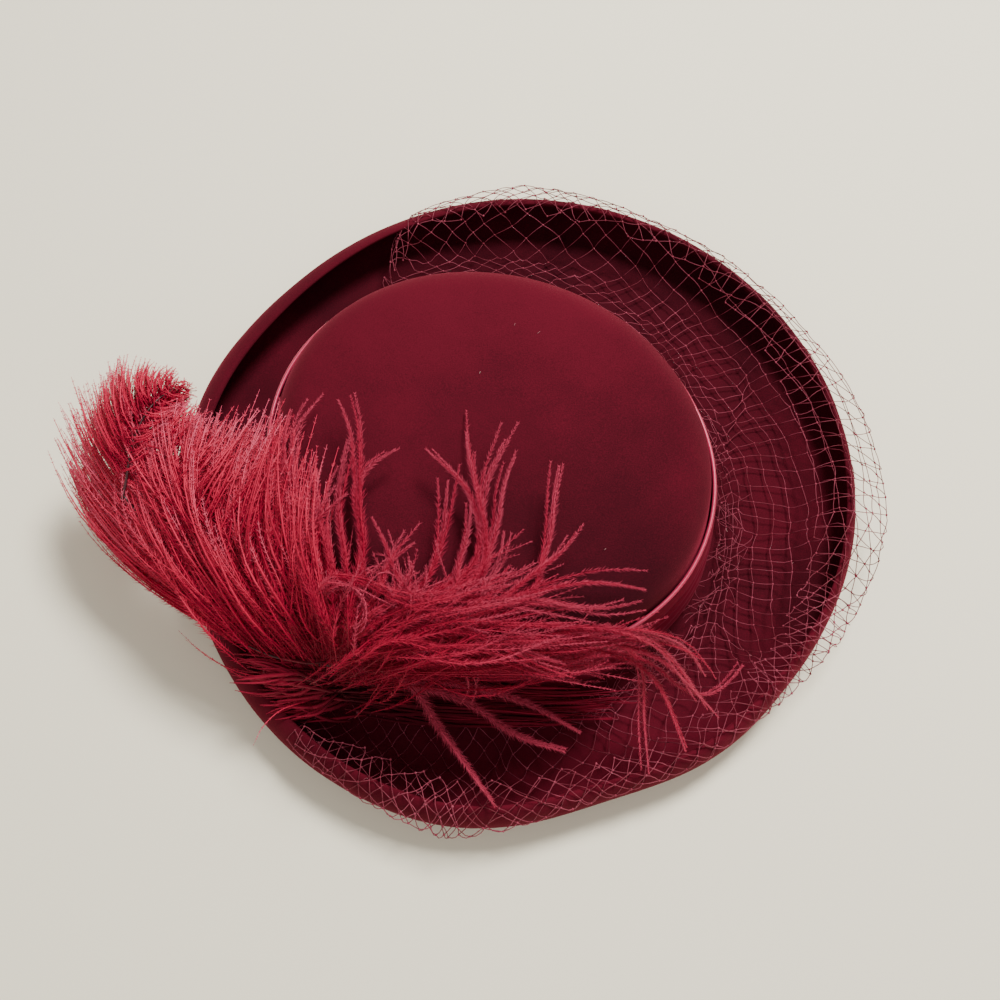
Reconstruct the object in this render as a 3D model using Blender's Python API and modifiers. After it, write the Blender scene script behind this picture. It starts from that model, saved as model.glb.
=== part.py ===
"""Wide-brim felt hat lying on its brim: rolled edge, satin band, net veil and ostrich feathers.

Metres, +Z up. The table is at height 0, -Y is the front, and the origin is under the middle of the whole.
While it is built, directions are degrees about the crown's middle, from +X towards +Y, and a reach is
the distance from that middle.
"""

import bisect
import math

import bmesh
import bpy
from mathutils import Vector

# Felt body, measured outside the felt
FELT = 0.0025
CROWN_LENGTH = 0.197
CROWN_WIDTH = 0.173
CROWN_TURN = 154.0
CROWN_HEIGHT = 0.084
CROWN_LEAN = 0.0065
CROWN_ROUND = 0.015
CROWN_DOME = 0.003
FOOT_ROUND = 0.008
BRIM_LENGTH = 0.304
BRIM_WIDTH = 0.294
BRIM_TURN = 26.0
BRIM_SHIFT_X = 0.0096
BRIM_SHIFT_Y = 0.0048
ROLL_RADIUS = 0.0115

# Satin band
BAND_DROP = 0.023
BAND_LIFT = 0.0045
BAND_DEPTH = 0.0024

# Net veil
VEIL_START = 117.0
VEIL_END = -128.0
VEIL_WIRE = 0.0016
VEIL_LIFT = 0.004
VEIL_PUFF = 0.014

# Feathers. Their feet are set on the band by direction, and a foot spans one step of it
LOCK_THICK = 0.003
SHAFT_WIDTH = 0.007
PLUME_OVERHANG = 0.045
PLUME_ARCH = 0.004
SPRAY_ARCH = 0.012
PLUME_FOOT = -127.0
SPRAY_FOOT = -136.0
UNDER_FOOT = -142.0
FOOT_STEP = 4.0

# Air that touching pieces keep, and that a feather's foot keeps to the band
CLEAR = 0.0003
FOOT_CLEAR = 0.0005

# How finely the solids are divided
AROUND = 56
EDGE_STEPS = 4
ROLL_STEPS = 8
VEIL_COLUMNS = 36
PLUME_LOCKS = 14
SPRAY_LOCKS = 11
UNDER_LOCKS = 8


def table(columns, *rows):
    return [dict(zip(columns.split(), row)) for row in rows]


# The rim's waves. out: share of the brim's reach; across and up: shares of the roll's radius;
# curl: degrees past level that the roll closes to
RIM_ROWS = table(
    "direction out across up curl",
    (-152, -0.032, 1.05, 1.00, 70),
    (-132, -0.014, 1.10, 1.02, 68),
    (-114, 0.004, 1.10, 1.05, 66),
    (-97, 0.014, 1.10, 1.05, 64),
    (-86, -0.002, 1.00, 1.05, 62),
    (-71, -0.034, 0.90, 1.00, 60),
    (-52, -0.009, 0.85, 1.00, 60),
    (-36, -0.011, 0.80, 1.00, 60),
    (-14, 0.008, 0.75, 1.00, 60),
    (8, 0.009, 0.75, 1.00, 60),
    (40, -0.004, 0.80, 1.00, 62),
    (62, 0.000, 0.85, 1.00, 64),
    (85, 0.005, 0.90, 1.00, 68),
    (108, -0.003, 1.00, 1.00, 72),
    (136, -0.014, 1.10, 1.00, 78),
    (160, 0.000, 1.10, 1.00, 78),
    (182, -0.015, 1.10, 1.00, 74),
)

# The band's folds from its piped upper edge down. drop: share of its height; depth: share of its depth
FOLD_ROWS = table(
    "drop depth",
    (0.00, 0.55),
    (0.03, 1.00),
    (0.08, 0.90),
    (0.11, 0.45),
    (0.27, 0.90),
    (0.34, 0.50),
    (0.52, 1.00),
    (0.60, 0.55),
    (0.80, 1.00),
    (1.00, 0.60),
)

# The veil's section from its gathered edge out. across: share of the brim; roll: share of the roll's
# radius; puff: share of the puff; rise: share of the roll's height; lift: share of the veil's lift
VEIL_ROWS = table(
    "across roll puff rise lift",
    (0.00, 0.00, 0.0, 0.00, 0.0),
    (0.33, 0.00, 0.0, 0.00, 1.0),
    (0.62, 0.00, 0.0, 0.10, 1.0),
    (1.00, -1.15, 0.0, 1.00, 0.8),
    (1.00, -0.30, 0.0, 1.00, 0.8),
    (1.00, 0.45, 1.0, 0.60, 0.0),
)
PUFF_ROWS = table(
    "direction puff",
    (-128, 0.00),
    (-112, 0.10),
    (-97, 0.45),
    (-80, 0.05),
    (-45, 0.10),
    (-25, 0.60),
    (-5, 1.00),
    (12, 0.80),
    (30, 0.40),
    (60, 0.40),
    (85, 0.60),
    (105, 0.30),
    (117, 0.00),
)

# Feathers from foot to tip: the shaft, then the tips of the locks on the crown's side and on the rim's.
# way: 0 on the band, 1 at the rim, 2 a plume's overhang past it, -1 at the crown's middle;
# height: 0 level with the rolled edge, 1 level with the crown's top
FEATHER_COLUMNS = (
    "along direction way height crown_direction crown_way crown_height rim_direction rim_way rim_height"
)
# Plume, which curls over past the rim
PLUME_ROWS = table(
    FEATHER_COLUMNS,
    (0.00, -137, 0.43, 0.15, -146, 0.00, 0.90, -136, 0.61, 0.03),
    (0.15, -144, 0.73, 0.28, -153, -0.08, 1.10, -146, 0.95, 0.08),
    (0.32, -155, 0.96, 0.42, -164, -0.12, 1.14, -156, 1.27, 0.13),
    (0.48, -165, 1.14, 0.50, -177, -0.14, 1.14, -166, 1.61, 0.20),
    (0.64, -175, 1.25, 0.56, -189, -0.10, 1.00, -176, 1.91, 0.28),
    (0.78, -183, 1.20, 0.59, -192, 0.19, 0.69, -186, 2.01, 0.33),
    (0.90, -189, 1.11, 0.56, -193, 0.62, 0.44, -195, 1.85, 0.35),
    (1.00, -194, 1.01, 0.45, -197, 0.75, 0.38, -200, 1.36, 0.38),
)
# Spray, whose locks fan out over the crown and the brim
SPRAY_ROWS = table(
    FEATHER_COLUMNS,
    (0.00, -124, 0.15, 0.62, -186, -0.42, 1.21, -116, 0.62, 0.28),
    (0.20, -114, 0.13, 0.81, -156, -0.60, 1.24, -90, 0.86, 0.21),
    (0.40, -102, 0.10, 0.90, -112, -0.83, 1.24, -76, 0.62, 0.21),
    (0.60, -90, 0.07, 0.86, -50, -0.75, 1.22, -66, 1.00, 0.21),
    (0.80, -78, 0.10, 0.74, -50, -0.41, 1.19, -56, 0.96, 0.20),
    (1.00, -66, 0.14, 0.59, -48, -0.15, 1.14, -46, 0.72, 0.18),
)
# Under feather, which lies lower than the rolled edge
UNDER_ROWS = table(
    FEATHER_COLUMNS,
    (0.00, -134, 0.28, -0.13, -128, 0.19, -0.09, -144, 0.69, -0.03),
    (0.25, -118, 0.34, -0.15, -108, 0.16, -0.11, -126, 0.64, -0.09),
    (0.60, -95, 0.29, -0.15, -85, 0.12, -0.11, -92, 0.53, -0.15),
    (1.00, -66, 0.26, -0.15, -56, 0.11, -0.13, -56, 0.44, -0.15),
)

# A lock's taper. along: share of its length; width: share of its root's width
LOCK_ROWS = table(
    "along width",
    (0.35, 0.80),
    (0.70, 0.60),
    (1.00, 0.16),
)


def clear_scene():
    for old in list(bpy.data.objects):
        bpy.data.objects.remove(old, do_unlink=True)


def finish_of(name, colour, roughness, sheen=0.0):
    """A plain cloth or feather material in a linear colour."""
    material = bpy.data.materials.new(name)
    material.use_nodes = True
    shader = material.node_tree.nodes["Principled BSDF"]
    shader.inputs["Base Color"].default_value = (*colour, 1)
    shader.inputs["Roughness"].default_value = roughness
    shader.inputs["Sheen Weight"].default_value = sheen
    material.diffuse_color = (*colour, 1)
    return material


def heading(direction):
    return Vector((math.cos(math.radians(direction)), math.sin(math.radians(direction)), 0))


def place(direction, reach, height):
    return heading(direction) * reach + Vector((0, 0, height))


def read_table(rows, key, column, where, period=None):
    """One column as a smooth curve through its rows, read at a value of the key column."""
    at = [row[key] for row in rows]
    values = [row[column] for row in rows]
    if period:
        where = (where - at[0]) % period + at[0]
        at = [at[-1] - period, *at, at[0] + period, at[1] + period]
        values = [values[-1], *values, values[0], values[1]]

    def slope(i):
        before, after = max(i - 1, 0), min(i + 1, len(at) - 1)
        return (values[after] - values[before]) / (at[after] - at[before])

    i = min(max(bisect.bisect_right(at, where) - 1, 0), len(at) - 2)
    step = at[i + 1] - at[i]
    share = min(max((where - at[i]) / step, 0), 1)
    rise = values[i + 1] - values[i]
    start = slope(i) * step
    end = slope(i + 1) * step
    squared = 3 * rise - 2 * start - end
    cubed = start + end - 2 * rise
    return values[i] + start * share + squared * share**2 + cubed * share**3


def oval_reach(direction, length, width, turn, middle=(0, 0)):
    """Distance from the crown's middle to an oval, along a direction."""
    ray = heading(direction - turn)
    start = -(middle[0] * heading(-turn) + middle[1] * heading(90 - turn))
    across, along = (length / 2) ** 2, (width / 2) ** 2
    square = ray.x**2 / across + ray.y**2 / along
    cross = ray.x * start.x / across + ray.y * start.y / along
    rest = start.x**2 / across + start.y**2 / along - 1
    return (math.sqrt(cross**2 - square * rest) - cross) / square


def foot_reach(direction):
    return oval_reach(direction, CROWN_LENGTH, CROWN_WIDTH, CROWN_TURN)


def wall_foot():
    """Height at which the crown's wall starts."""
    return FELT + FOOT_ROUND


def wall_top():
    """Height at which the crown's wall turns into its soft edge."""
    return CROWN_HEIGHT - CROWN_DOME - CROWN_ROUND


def wall_reach(direction, height):
    share = (height - wall_foot()) / (wall_top() - wall_foot())
    return foot_reach(direction) - CROWN_LEAN * share


def rim(direction, column):
    return read_table(RIM_ROWS, "direction", column, direction, period=360)


def rim_reach(direction):
    plain = oval_reach(direction, BRIM_LENGTH, BRIM_WIDTH, BRIM_TURN, (BRIM_SHIFT_X, BRIM_SHIFT_Y))
    return plain * (1 + rim(direction, "out"))


def arc(middle_reach, middle_height, across, up, start, end, steps):
    """Points (reach, height) on an elliptical arc, in degrees from the outward direction."""
    turns = [math.radians(start + (end - start) * i / steps) for i in range(steps + 1)]
    return [(middle_reach + across * math.cos(t), middle_height + up * math.sin(t)) for t in turns]


def hat_section(direction):
    """Outer side of the felt, from near the crown's middle to the rim's free edge."""
    flat = wall_reach(direction, wall_top()) - CROWN_ROUND
    top = [(flat * share, CROWN_HEIGHT - CROWN_DOME * share**2) for share in (0.35, 0.7)]
    edge = arc(flat, wall_top(), CROWN_ROUND, CROWN_ROUND, 90, 0, EDGE_STEPS)
    foot = foot_reach(direction)
    middle = (wall_foot() + wall_top()) / 2
    wall = [(wall_reach(direction, middle), middle)]
    curve = arc(foot + FOOT_ROUND, wall_foot(), FOOT_ROUND, FOOT_ROUND, 180, 270, EDGE_STEPS)
    across = ROLL_RADIUS * rim(direction, "across")
    up = ROLL_RADIUS * rim(direction, "up")
    start = rim_reach(direction) - across
    inner = foot + FOOT_ROUND
    flat_brim = [(inner + (start - inner) * share, FELT) for share in (0.33, 0.67)]
    roll = arc(start, FELT + up, across, up, -90, rim(direction, "curl"), ROLL_STEPS)
    return top + edge + wall + curve + flat_brim + roll


def new_object(name, mesh, material, collection):
    mesh.materials.append(material)
    mesh.shade_smooth()
    piece = bpy.data.objects.new(name, mesh)
    collection.objects.link(piece)
    return piece


def skin(name, sections, material, collection, closed=False, pole=None):
    """A surface through sections set all round the crown. closed joins each section's ends."""
    work = bmesh.new()
    grid = [[work.verts.new(point) for point in section] for section in sections]
    across = len(grid[0]) if closed else len(grid[0]) - 1
    for i, left in enumerate(grid):
        right = grid[(i + 1) % len(grid)]
        for j in range(across):
            k = (j + 1) % len(left)
            work.faces.new((left[j], left[k], right[k], right[j]))
    if pole:
        middle = work.verts.new(pole)
        for i, left in enumerate(grid):
            work.faces.new((middle, left[0], grid[(i + 1) % len(grid)][0]))
    mesh = bpy.data.meshes.new(name)
    work.to_mesh(mesh)
    work.free()
    return new_object(name, mesh, material, collection)


def directions(count=AROUND):
    return [360 * i / count for i in range(count)]


def make_felt_hat(material, collection):
    """Crown and brim as one sheet, given its wall inwards."""
    sections = [[place(d, *point) for point in hat_section(d)] for d in directions()]
    hat = skin("felt_hat", sections, material, collection, pole=(0, 0, CROWN_HEIGHT))
    wall = hat.modifiers.new("Wall", "SOLIDIFY")
    wall.thickness = FELT
    wall.offset = -1
    wall.use_even_offset = True
    return hat


def band_top():
    return CROWN_HEIGHT - BAND_DROP


def band_height():
    return band_top() - wall_foot() - BAND_LIFT


def band_reach(direction, height, depth):
    return wall_reach(direction, height) + CLEAR + BAND_DEPTH * depth


def make_satin_band(material, collection):
    """The folded ribbon, a closed ring that follows the crown's wall."""
    sections = []
    for d in directions():
        section = []
        for row in FOLD_ROWS:
            height = band_top() - band_height() * row["drop"]
            section.append(place(d, band_reach(d, height, row["depth"]), height))
        for height in (band_top() - band_height(), band_top()):
            section.append(place(d, band_reach(d, height, 0), height))
        sections.append(section)
    return skin("satin_band", sections, material, collection, closed=True)


def veil_point(direction, row):
    """A point of the veil over the brim, by its section's row."""
    inner = foot_reach(direction) + FOOT_ROUND + VEIL_WIRE
    outer = rim_reach(direction)
    puff = VEIL_PUFF * read_table(PUFF_ROWS, "direction", "puff", direction)
    reach = inner + (outer - inner) * row["across"] + ROLL_RADIUS * row["roll"] + puff * row["puff"]
    roll_height = 2 * ROLL_RADIUS * rim(direction, "up")
    rest = FELT + CLEAR + VEIL_WIRE / 2
    return place(direction, reach, rest + roll_height * row["rise"] + VEIL_LIFT * row["lift"])


def make_net_veil(material, collection):
    """A coarse net of diamonds cut through, laid from the band over the rim."""
    work = bmesh.new()
    knots = {}
    for i in range(VEIL_COLUMNS + 1):
        direction = VEIL_START + (VEIL_END - VEIL_START) * i / VEIL_COLUMNS
        for j, row in enumerate(VEIL_ROWS):
            if (i + j) % 2 == 0 or i in (0, VEIL_COLUMNS):
                knots[i, j] = work.verts.new(veil_point(direction, row))
    for i in range(VEIL_COLUMNS + 1):
        for j in range(len(VEIL_ROWS)):
            around = [(max(i - 1, 0), j), (i, j + 1), (min(i + 1, VEIL_COLUMNS), j), (i, j - 1)]
            corners = [knots[at] for at in around if at in knots]
            if (i + j) % 2 and len(corners) > 2:
                work.faces.new(corners)
    bmesh.ops.recalc_face_normals(work, faces=work.faces)
    mesh = bpy.data.meshes.new("net_veil")
    work.to_mesh(mesh)
    work.free()
    veil = new_object("net_veil", mesh, material, collection)
    threads = veil.modifiers.new("Threads", "WIREFRAME")
    threads.thickness = VEIL_WIRE
    threads.offset = 0
    threads.use_even_offset = False
    threads.use_boundary = True
    return veil


def feather_point(direction, way, height):
    """A point by a feather table's shares."""
    band = band_reach(direction, wall_foot(), 1)
    outer = rim_reach(direction)
    if way < 0:
        reach = band * (1 + way)
    elif way < 1:
        reach = band + (outer - band) * way
    else:
        reach = outer + PLUME_OVERHANG * (way - 1)
    roll_top = FELT + 2 * ROLL_RADIUS
    return place(direction, reach, roll_top + (CROWN_HEIGHT - roll_top) * height)


def feather_row(rows, along):
    """The shaft's point and the two locks' tips, at a share of the feather's length."""
    points = []
    for side in ("", "crown_", "rim_"):
        values = [read_table(rows, "along", side + column, along) for column in ("direction", "way", "height")]
        points.append(feather_point(*values))
    return points


def foot_stations(fold, direction, turn):
    """Two stations of the shaft that lie flat on a fold of the band."""
    height = band_top() - band_height() * fold["drop"]
    stations = []
    for i in range(2):
        at = direction + turn * FOOT_STEP * i
        reach = band_reach(at, height, fold["depth"]) + FOOT_CLEAR + LOCK_THICK / 2
        stations.append((place(at, reach, height), Vector((0, 0, SHAFT_WIDTH / 2))))
    return stations


def shaft_stations(centres, turn):
    """The rest of the shaft, level across, with its sides towards the crown and the rim."""
    stations = []
    for i, centre in enumerate(centres):
        ahead = centres[min(i + 1, len(centres) - 1)] - centres[max(i - 1, 0)]
        side = Vector((-ahead.y, ahead.x, 0)).normalized() * turn
        stations.append((centre, side * SHAFT_WIDTH / 2))
    return stations


def add_lock(work, first, second, tip, arch):
    """A strip that grows out of an edge of the shaft and tapers to its tip."""
    root = (first.co + second.co) / 2
    away = (tip - root).normalized()
    across = (second.co - first.co) / 2
    across = across - away * across.dot(away)
    for row in LOCK_ROWS:
        rise = Vector((0, 0, arch * math.sin(math.pi * row["along"])))
        point = root.lerp(tip, row["along"]) + rise
        third = work.verts.new(point + across * row["width"])
        fourth = work.verts.new(point - across * row["width"])
        work.faces.new((first, second, third, fourth))
        first, second = fourth, third


def make_feather(name, rows, locks, fold, direction, arch, material, collection):
    """A feather as one body: a foot flat on the band, a shaft, and locks out of both its sides."""
    turn = 1 if rows[1]["direction"] > rows[0]["direction"] else -1
    centres = [feather_row(rows, i / locks)[0] for i in range(locks + 1)]
    foot = foot_stations(fold, direction, turn)
    stations = foot + shaft_stations(centres, turn)
    work = bmesh.new()
    crown_side = [work.verts.new(centre + side) for centre, side in stations]
    rim_side = [work.verts.new(centre - side) for centre, side in stations]
    for i in range(len(stations) - 1):
        work.faces.new((crown_side[i], rim_side[i], rim_side[i + 1], crown_side[i + 1]))
    for i in range(locks):
        at = i + len(foot)
        _, crown_tip, rim_tip = feather_row(rows, (i + 0.5) / locks)
        add_lock(work, crown_side[at], crown_side[at + 1], crown_tip, arch)
        add_lock(work, rim_side[at + 1], rim_side[at], rim_tip, 0)
    bmesh.ops.recalc_face_normals(work, faces=work.faces)
    mesh = bpy.data.meshes.new(name)
    work.to_mesh(mesh)
    work.free()
    feather = new_object(name, mesh, material, collection)
    thickness = feather.modifiers.new("Thickness", "SOLIDIFY")
    thickness.thickness = LOCK_THICK
    thickness.offset = 0
    return feather


def middle_of(pieces):
    """Middle of the box round the pieces, in plan."""
    graph = bpy.context.evaluated_depsgraph_get()
    points = []
    for piece in pieces:
        made = piece.evaluated_get(graph)
        points += [Vector(corner) for corner in made.bound_box]
    xs = [point.x for point in points]
    ys = [point.y for point in points]
    return (min(xs) + max(xs)) / 2, (min(ys) + max(ys)) / 2


def main():
    clear_scene()
    collection = bpy.data.collections.new("felt_hat_with_feathers")
    bpy.context.scene.collection.children.link(collection)
    felt = finish_of("velour_felt", (0.130, 0.010, 0.018), 0.9, sheen=0.3)
    satin = finish_of("satin", (0.190, 0.018, 0.030), 0.35)
    net = finish_of("net_thread", (0.220, 0.080, 0.090), 0.6)
    barbs = finish_of("ostrich_barbs", (0.420, 0.036, 0.060), 0.8, sheen=0.3)
    dark_barbs = finish_of("under_barbs", (0.200, 0.012, 0.024), 0.7)
    upper_fold, middle_fold, lower_fold = FOLD_ROWS[4], FOLD_ROWS[6], FOLD_ROWS[8]
    pieces = [
        make_felt_hat(felt, collection),
        make_satin_band(satin, collection),
        make_net_veil(net, collection),
        make_feather("ostrich_plume", PLUME_ROWS, PLUME_LOCKS, middle_fold, PLUME_FOOT, PLUME_ARCH,
                     barbs, collection),
        make_feather("feather_spray", SPRAY_ROWS, SPRAY_LOCKS, upper_fold, SPRAY_FOOT, SPRAY_ARCH,
                     barbs, collection),
        make_feather("under_feather", UNDER_ROWS, UNDER_LOCKS, lower_fold, UNDER_FOOT, 0,
                     dark_barbs, collection),
    ]
    bpy.context.view_layer.update()
    middle = middle_of(pieces)
    holder = bpy.data.objects.new("hat", None)
    collection.objects.link(holder)
    for piece in pieces:
        piece.parent = holder
    holder.location = (-middle[0], -middle[1], 0)


main()
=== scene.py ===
# %% [markdown]
# # A wide-brim felt hat with ostrich feathers
# The hat is a burgundy velour felt body with a folded satin band, a knotted net veil and dyed ostrich
# feathers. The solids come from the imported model. Here each soft part is made again with the detail that
# the eye looks for: pile, folds, single threads and single barbs.

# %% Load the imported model
import math

import bpy
import numpy as np
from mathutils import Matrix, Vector
from mathutils.bvhtree import BVHTree


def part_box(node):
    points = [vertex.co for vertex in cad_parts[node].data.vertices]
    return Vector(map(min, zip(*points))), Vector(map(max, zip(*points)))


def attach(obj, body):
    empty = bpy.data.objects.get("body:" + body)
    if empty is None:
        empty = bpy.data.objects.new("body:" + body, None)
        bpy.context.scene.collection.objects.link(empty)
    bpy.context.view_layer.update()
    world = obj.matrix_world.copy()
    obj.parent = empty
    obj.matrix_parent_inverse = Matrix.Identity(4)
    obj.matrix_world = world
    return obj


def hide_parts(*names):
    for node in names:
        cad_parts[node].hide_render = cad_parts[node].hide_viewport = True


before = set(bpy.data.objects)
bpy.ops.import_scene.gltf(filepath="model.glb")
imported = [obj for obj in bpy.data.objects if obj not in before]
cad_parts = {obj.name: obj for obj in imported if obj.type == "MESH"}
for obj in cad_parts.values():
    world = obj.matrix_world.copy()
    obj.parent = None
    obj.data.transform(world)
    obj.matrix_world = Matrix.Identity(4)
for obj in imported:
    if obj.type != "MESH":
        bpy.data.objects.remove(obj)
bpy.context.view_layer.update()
band_low, band_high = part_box("satin_band")
crown_middle = Vector(((band_low.x + band_high.x) / 2, (band_low.y + band_high.y) / 2, 0))
print("crown's middle", [round(x * 1000, 2) for x in crown_middle], "mm")

# %% [markdown]
# ## Camera
# The hat lies on its brim and is seen from high up. The camera comes first, because the feathers are
# placed by where they show in its view: a point in the view and a height above the table give one place.

# %% Camera
ELEVATION = math.radians(70)
DISTANCE = 0.514
LENS, SENSOR = 39.6, 36.0
VIEW = 1000
AIM_SHIFT = Vector((0.0033, 0.0024, 0))

aim = crown_middle + AIM_SHIFT
eye = aim + DISTANCE * Vector((0, -math.cos(ELEVATION), math.sin(ELEVATION)))
bpy.ops.object.camera_add(location=eye, rotation=(math.pi / 2 - ELEVATION, 0, 0))
camera = bpy.context.object
camera.data.lens = LENS
camera.data.sensor_width = SENSOR
bpy.context.scene.camera = camera


def in_view(points):
    """Places in metres from rows of (view x, view y, height in mm)."""
    points = np.array(points, float)
    focal = LENS / SENSOR * VIEW
    across = (points[:, 0] - VIEW / 2) / focal
    up = (VIEW / 2 - points[:, 1]) / focal
    ray = np.stack([
        across,
        up * math.sin(ELEVATION) + math.cos(ELEVATION),
        up * math.cos(ELEVATION) - math.sin(ELEVATION),
    ], axis=1)
    reach = (points[:, 2] / 1000 - eye.z) / ray[:, 2]
    return np.array(eye) + ray * reach[:, None]


print("the middle of the view on the table", in_view([(500, 500, 0)]).round(4))

# %% [markdown]
# ## Small helpers
# Every piece ends in the same way: smooth shading, its place in its mesh, the body it rides on and its
# material.


# %% Helpers for pieces
def start_clean():
    if bpy.context.object and bpy.context.object.mode != "OBJECT":
        bpy.ops.object.mode_set(mode="OBJECT")
    bpy.ops.object.select_all(action="DESELECT")


def finish_piece(piece, name, slot, material, *solids):
    """Names a piece, sets its place into its mesh, gives it its material, ties it to the hat and hides the
    solids it stands for.
    """
    start_clean()
    piece.name = name
    piece.select_set(True)
    bpy.context.view_layer.objects.active = piece
    bpy.ops.object.transform_apply(location=True, rotation=True, scale=True)
    bpy.ops.object.shade_smooth()
    piece.data.materials.clear()
    piece.data.materials.append(material)
    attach(piece, "root")
    if solids:
        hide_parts(*solids)
    triangles = sum(len(face.vertices) - 2 for face in piece.data.polygons)
    print(name, triangles, "triangles")


# %% [markdown]
# Materials are node trees, and one function adds a node with its settings and links. Dye takes unevenly on
# thread and cloth, so several finishes wander between two close colours in patches of a real width.


# %% Helpers for materials
def colour(code):
    """An sRGB hex colour as linear numbers."""
    parts = [int(code[i:i + 2], 16) / 255 for i in (1, 3, 5)]
    linear = [x / 12.92 if x <= 0.04045 else ((x + 0.055) / 1.055) ** 2.4 for x in parts]
    return (*linear, 1)


def add_node(tree, kind, settings=None, links=None, stops=None):
    """One node: settings by property or socket name, what feeds its sockets, and colour stops by place."""
    made = tree.nodes.new(kind)
    for name, value in (settings or {}).items():
        if isinstance(name, str) and hasattr(made, name):
            setattr(made, name, value)
        else:
            made.inputs[name].default_value = value
    for name, source in (links or {}).items():
        tree.links.new(source, made.inputs[name])
    if stops:
        elements = made.color_ramp.elements
        while len(elements) < len(stops):
            elements.new(0.5)
        for element, (position, code) in zip(elements, stops.items()):
            element.position = position
            element.color = colour(code)
    return made


def new_finish(name, **settings):
    """A material, its tree and its Principled shader with plain settings."""
    material = bpy.data.materials.new(name)
    material.use_nodes = True
    tree = material.node_tree
    shader = tree.nodes["Principled BSDF"]
    for socket, value in settings.items():
        shader.inputs[socket.replace("_", " ")].default_value = value
    return material, tree, shader


def mottled(tree, shader, width, detail, stops, slimmer=1.0):
    """Colours a shader in uneven patches of a width, that many times slimmer upwards, and returns them."""
    coords = add_node(tree, "ShaderNodeTexCoord")
    squeezed = add_node(
        tree, "ShaderNodeMapping", {"Scale": (1.0, 1.0, slimmer)}, {"Vector": coords.outputs["Object"]}
    )
    patches = add_node(
        tree, "ShaderNodeTexNoise", {"Scale": 1 / width, "Detail": detail},
        {"Vector": squeezed.outputs["Vector"]},
    )
    dye = add_node(tree, "ShaderNodeValToRGB", links={"Fac": patches.outputs["Fac"]}, stops=stops)
    tree.links.new(dye.outputs["Color"], shader.inputs["Base Color"])
    return patches


# %% [markdown]
# ## Table and light
# A pale matte table and a large soft light above the far side of the hat, as from a window or a ceiling
# panel. A wide source gives velour its soft fall-off and leaves the trough of the brim in deep shade; painted
# light and shade on the felt add to both.

# %% Table and light
TABLE_SIZE, TABLE_GAP = 60, 0.0004
ROOM_TINT, ROOM_STRENGTH = (1.0, 0.97, 0.92, 1), 0.40

bpy.ops.mesh.primitive_plane_add(size=TABLE_SIZE, location=(0, 0, -TABLE_GAP))
table = bpy.context.object
table.name = "table"
table_finish, _, _ = new_finish("matte_paper", Base_Color=colour("#f8f0d9"), Roughness=0.9)
table.data.materials.append(table_finish)


def soft_light(name, place, size, power, tint):
    bpy.ops.object.light_add(type="AREA", location=place)
    light = bpy.context.object
    light.name = name
    light.data.shape = "DISK"
    light.data.size = size
    light.data.energy = power
    light.data.color = tint
    light.rotation_euler = (crown_middle - light.location).to_track_quat("-Z", "Y").to_euler()
    print(name, "is", round((light.location - crown_middle).length, 2), "m away")


soft_light("far_side_light", place=(0.44, 0.60, 1.30), size=0.42, power=38, tint=(1.0, 0.985, 0.95))
soft_light("near_side_fill", place=(0.2, -0.9, 1.3), size=1.4, power=6, tint=(1.0, 0.98, 0.96))
world = bpy.data.worlds.new("room")
world.use_nodes = True
world.node_tree.nodes["Background"].inputs["Color"].default_value = ROOM_TINT
world.node_tree.nodes["Background"].inputs["Strength"].default_value = ROOM_STRENGTH
bpy.context.scene.world = world

# %% [markdown]
# ## Felt body
# A hat body is one sheet of fur felt, steamed and pulled over a block, with its brim edge rolled up. It
# could be turned from a profile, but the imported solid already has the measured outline, so a copy of it is
# joined up, turned back into quads and subdivided. A very shallow displacement takes off the machine look.

# %% Felt body
JOIN_WITHIN = 0.00002
QUAD_TURN = math.radians(60)
WANDER, WANDER_WIDTH = 0.0009, 0.06

start_clean()
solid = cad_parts["felt_hat"]
felt = solid.copy()
felt.data = solid.data.copy()
felt.parent = None
bpy.context.collection.objects.link(felt)
felt.select_set(True)
bpy.context.view_layer.objects.active = felt
bpy.ops.mesh.customdata_custom_splitnormals_clear()
bpy.ops.object.mode_set(mode="EDIT")
bpy.ops.mesh.select_all(action="SELECT")
bpy.ops.mesh.remove_doubles(threshold=JOIN_WITHIN)
bpy.ops.mesh.tris_convert_to_quads(face_threshold=QUAD_TURN, shape_threshold=QUAD_TURN)
bpy.ops.object.mode_set(mode="OBJECT")
smooth = felt.modifiers.new("Smooth", "SUBSURF")
smooth.levels = smooth.render_levels = 2
bpy.ops.object.modifier_apply(modifier="Smooth")
clouds = bpy.data.textures.new("steamed_unevenness", "CLOUDS")
clouds.noise_scale = WANDER_WIDTH
uneven = felt.modifiers.new("Uneven", "DISPLACE")
uneven.texture = clouds
uneven.texture_coords = "GLOBAL"
uneven.strength = WANDER
bpy.ops.object.modifier_apply(modifier="Uneven")
felt_tree = BVHTree.FromPolygons(
    [v.co.copy() for v in felt.data.vertices], [list(f.vertices) for f in felt.data.polygons]
)

# %% [markdown]
# Velour felt is brushed so that a short pile stands up. It scatters light at grazing angles, which the
# sheen gives, and it shows cloudy patches where the pile lies another way. The pile is drawn about 0.5 mm
# wide, which is as fine as the render shows. One number goes from dark to light: it carries the patches and
# the pile, and also painted light and shade across the hat and in the trough of the brim.

# %% Velour felt
PATCH_WIDTH, PILE_WIDTH, PILE_DEPTH = 0.04545, 0.0005263, 0.0004
# Painted light and shade: the felt is painted lighter towards the far left and darker towards the near right,
# where less light falls
PAINTED_FALLOFF_WAY, PAINTED_FALLOFF_BY = (-0.5, 5.0, 0.0), 0.42
# Painted shade: the low far side of the trough is painted darker, for the shade that falls there
FAR_TROUGH_SHADE = {"From Min": 0.0, "From Max": 0.125, "To Max": 0.44}
LOW_TROUGH_SHADE = {"From Min": 0.043, "From Max": 0.016}
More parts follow.
